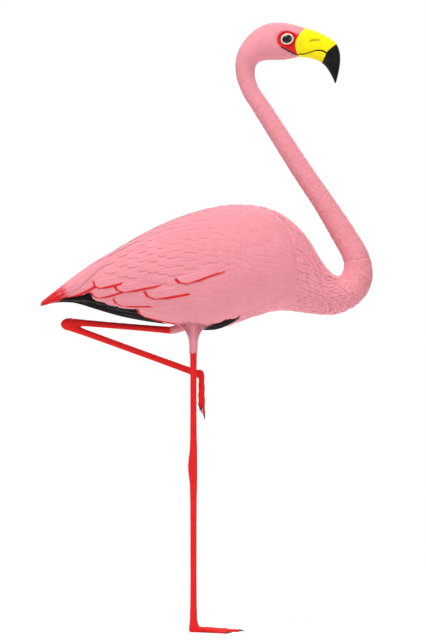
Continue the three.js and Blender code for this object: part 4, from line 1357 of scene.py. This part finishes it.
class FLAMINGO_OT_body_feathers(BuildStep, bpy.types.Operator):
    """Small feathers of the head, neck, breast, back and belly"""

    bl_idname = "flamingo.body_feathers"
    bl_label = "Body Feathers"

    def build(self, colours, plumage):
        material = plumage_material("Small Feathers", colours.crimson, 9.0)
        head, neck, bend, breast, trunk = (
            getattr(plumage, f"{part}_gap") / MM
            for part in ("head", "neck", "bend", "breast", "trunk")
        )
        gaps = {
            "tail tip": 0.6 * trunk, "tail base": 0.75 * trunk, "rump": trunk, "breast": trunk,
            "crop": breast, "neck foot": bend, "neck 3": neck, "neck 7": neck,
            "nape": (neck + head) / 2, "crown rear": 1.1 * head, "crown front": head,
            "bill base": 0.8 * head,
        }

        def spacing(position):
            return np.interp(position, [at(name) for name in gaps], list(gaps.values()))

        def clear_of_wings(position, angle):
            upper, lower = wing_edges(position)
            within = (np.abs(angle) > upper + 7) & (np.abs(angle) < lower - 7)
            return ~(within & (position < WING_FRONT - 0.5))

        def clear_of_face(position, angle):
            points = form(position, angle)
            crease = (np.abs(mouth_fold(points)) < 1.2) & (points[..., 0] > 128)
            reach = VANE_LENGTH * spacing(position) / pace(position, angle)[0]
            ends = [bare_face(form(position - share * reach, angle)) for share in (0, 0.5, 1)]
            return (np.max(ends, 0) < 0.35) & (bill_base(points) < 0.3) & ~crease

        def anywhere(position, angle):
            return np.ones(len(position), bool)

        mid_neck = at("neck 4") + 0.5
        coats = [
            ("coat_trunk", 0.35, at("mantle"), FINE_VANE, clear_of_wings),
            ("coat_breast", at("mantle"), at("crop"), FINE_VANE, clear_of_wings),
            ("coat_neck_bend", at("crop"), at("neck 2"), FINE_VANE, anywhere),
            ("coat_neck_lower", at("neck 2"), mid_neck, FINE_VANE, anywhere),
            ("coat_neck_upper", mid_neck, at("nape"), FINE_VANE, anywhere),
            ("coat_head", at("nape"), at("bill base") - 0.05, TINY_VANE, clear_of_face),
        ]
        for seed, (name, start, stop, vane, keep) in enumerate(coats, plumage.seed):
            roots = roots_on_form(start, stop, spacing, keep, colours, seed)
            grow_coat(name, roots, vane, material, seed, plumage.ruffle)


class FLAMINGO_OT_thigh_feathers(BuildStep, bpy.types.Operator):
    """Small feathers that run down the thighs and end in points on the shanks"""

    bl_idname = "flamingo.thigh_feathers"
    bl_label = "Thigh Feathers"

    def build(self, colours, plumage):
        material = plumage_material("Thigh Feathers", colours.crimson, 9.0)
        for word in SIDES:
            roots, name = roots_on_thigh(word, colours, plumage.seed), f"coat_thigh_{word}"
            grow_coat(name, roots, FINE_VANE, material, plumage.seed, plumage.ruffle)


class FLAMINGO_OT_wings(BuildStep, bpy.types.Operator):
    """Coverts of the folded wings, with the crimson-rimmed scallops at the rear"""

    bl_idname = "flamingo.wings"
    bl_label = "Wings"

    def build(self, colours, plumage):
        material = plumage_material("Wing Coverts", colours.crimson, 34.0)

        def paint(points, tone):
            return plumage_colour(points, colours, tone)

        for word, side in SIDES.items():
            seed = plumage.seed + side + 1
            lay_feathers("coverts", word, wing_feathers(seed), wing_lift, paint,
                         "wing", material)
            lay_feathers("scallops", word, scallop_feathers(seed), scallop_lift, paint,
                         "tertials", material)


class FLAMINGO_OT_flight_feathers(BuildStep, bpy.types.Operator):
    """Black flight feathers below the folded wings, and the crimson tail"""

    bl_idname = "flamingo.flight_feathers"
    bl_label = "Flight Feathers"

    def build(self, colours, plumage):
        black = plumage_material("Black Quills", colours.black, 60.0, sheen=0.0, specular=0.1)
        crimson = plumage_material("Crimson Tail", colours.crimson, 40.0)

        def painter(colour, variation):
            return lambda points, tone: (
                np.broadcast_to(rgb(colour), points.shape) * (1 + variation * tone[..., None])
            )

        paint_black = painter(colours.black, 0.4)
        streaks = [
            feather(6.6 + 0.14 * k, 167 - 5 * k, 60 - 6 * k, 7, slope=9, sink=2.2, tilt=0.8)
            for k in range(3)
        ]
        tail = [
            feather(0.04 + 0.03 * abs(k - 3), 5 + 28 * k, 70, 15, slope=0, sink=1.2, tilt=0.5,
                    rounding=0.2)
            for k in range(7)
        ]
        for word, side in SIDES.items():
            quills = primary_feathers(plumage.seed + side + 1)
            lay_feathers("flight_feathers", word, quills, lambda p, a: quill_lift(p),
                         paint_black, "quills", black)
            lay_feathers("inner_quills", word, streaks, lambda p, a: 3.0 + 0 * p,
                         paint_black, "secondaries", black)
            lay_feathers("tail_feathers", word, tail, lambda p, a: 0.6 * wing_lift(p, 80 + 0 * a),
                         painter(colours.crimson, 0.15), None, crimson)


class FLAMINGO_OT_eyes(BuildStep, bpy.types.Operator):
    """Both eyes, with a pale iris round a large pupil"""

    bl_idname = "flamingo.eyes"
    bl_label = "Eyes"

    def build(self, colours, plumage):
        material = eye_material(colours)
        for word, side in SIDES.items():
            obj = tube(f"eyeball_{word}", eye_rings(EYE_RADIUS, side))
            points = vertex_points(obj.data)
            local = points - EYE * [1, side, 1]
            behind = local[:, 1] * side < 0
            store(obj.data, "Off Axis", "FLOAT", eye_reach(points) + behind)
            store(obj.data, "Spoke", "FLOAT_VECTOR", unit(local * [1, 0, 1]))
            finished(obj, [f"eye_{word}"], material)


class FLAMINGO_OT_bill(BuildStep, bpy.types.Operator):
    """Both halves of the bill"""

    bl_idname = "flamingo.bill"
    bl_label = "Bill"

    def build(self, colours, plumage):
        material = bill_material(colours)
        for word in ("upper", "lower"):
            half = bill_half(f"bill_horn_{word}", word == "upper")
            finished(half, [f"bill_{word}"], material)


class FLAMINGO_OT_claws(BuildStep, bpy.types.Operator):
    """Claws of both feet"""

    bl_idname = "flamingo.claws"
    bl_label = "Claws"

    def build(self, colours, plumage):
        material = claw_material()
        for node in sorted(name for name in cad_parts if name.startswith("claw_")):
            finished(claw(f"horn_{node}", node), [node], material)


OPERATORS = (
    FLAMINGO_OT_stage,
    FLAMINGO_OT_skin,
    FLAMINGO_OT_body_feathers,
    FLAMINGO_OT_thigh_feathers,
    FLAMINGO_OT_wings,
    FLAMINGO_OT_flight_feathers,
    FLAMINGO_OT_eyes,
    FLAMINGO_OT_bill,
    FLAMINGO_OT_claws,
)


class FLAMINGO_PT_panel(bpy.types.Panel):
    """Builds the flamingo piece by piece"""

    bl_label = "Flamingo"
    bl_idname = "FLAMINGO_PT_panel"
    bl_space_type = "VIEW_3D"
    bl_region_type = "UI"
    bl_category = "Flamingo"

    def draw(self, context):
        column = self.layout.column()
        for settings in (context.scene.flamingo_colours, context.scene.flamingo_plumage):
            for name in settings.__annotations__:
                column.prop(settings, name)
        for operator in OPERATORS:
            column.operator(operator.bl_idname)


CLASSES = (FlamingoColours, FlamingoPlumage, *OPERATORS, FLAMINGO_PT_panel)


def register():
    for cls in CLASSES:
        bpy.utils.register_class(cls)
    bpy.types.Scene.flamingo_colours = PointerProperty(type=FlamingoColours)
    bpy.types.Scene.flamingo_plumage = PointerProperty(type=FlamingoPlumage)


def unregister():
    del bpy.types.Scene.flamingo_plumage
    del bpy.types.Scene.flamingo_colours
    for cls in reversed(CLASSES):
        bpy.utils.unregister_class(cls)


def main():
    register()
    for operator in OPERATORS:
        getattr(bpy.ops.flamingo, operator.bl_idname.split(".")[1])()


if __name__ == "__main__":
    main()
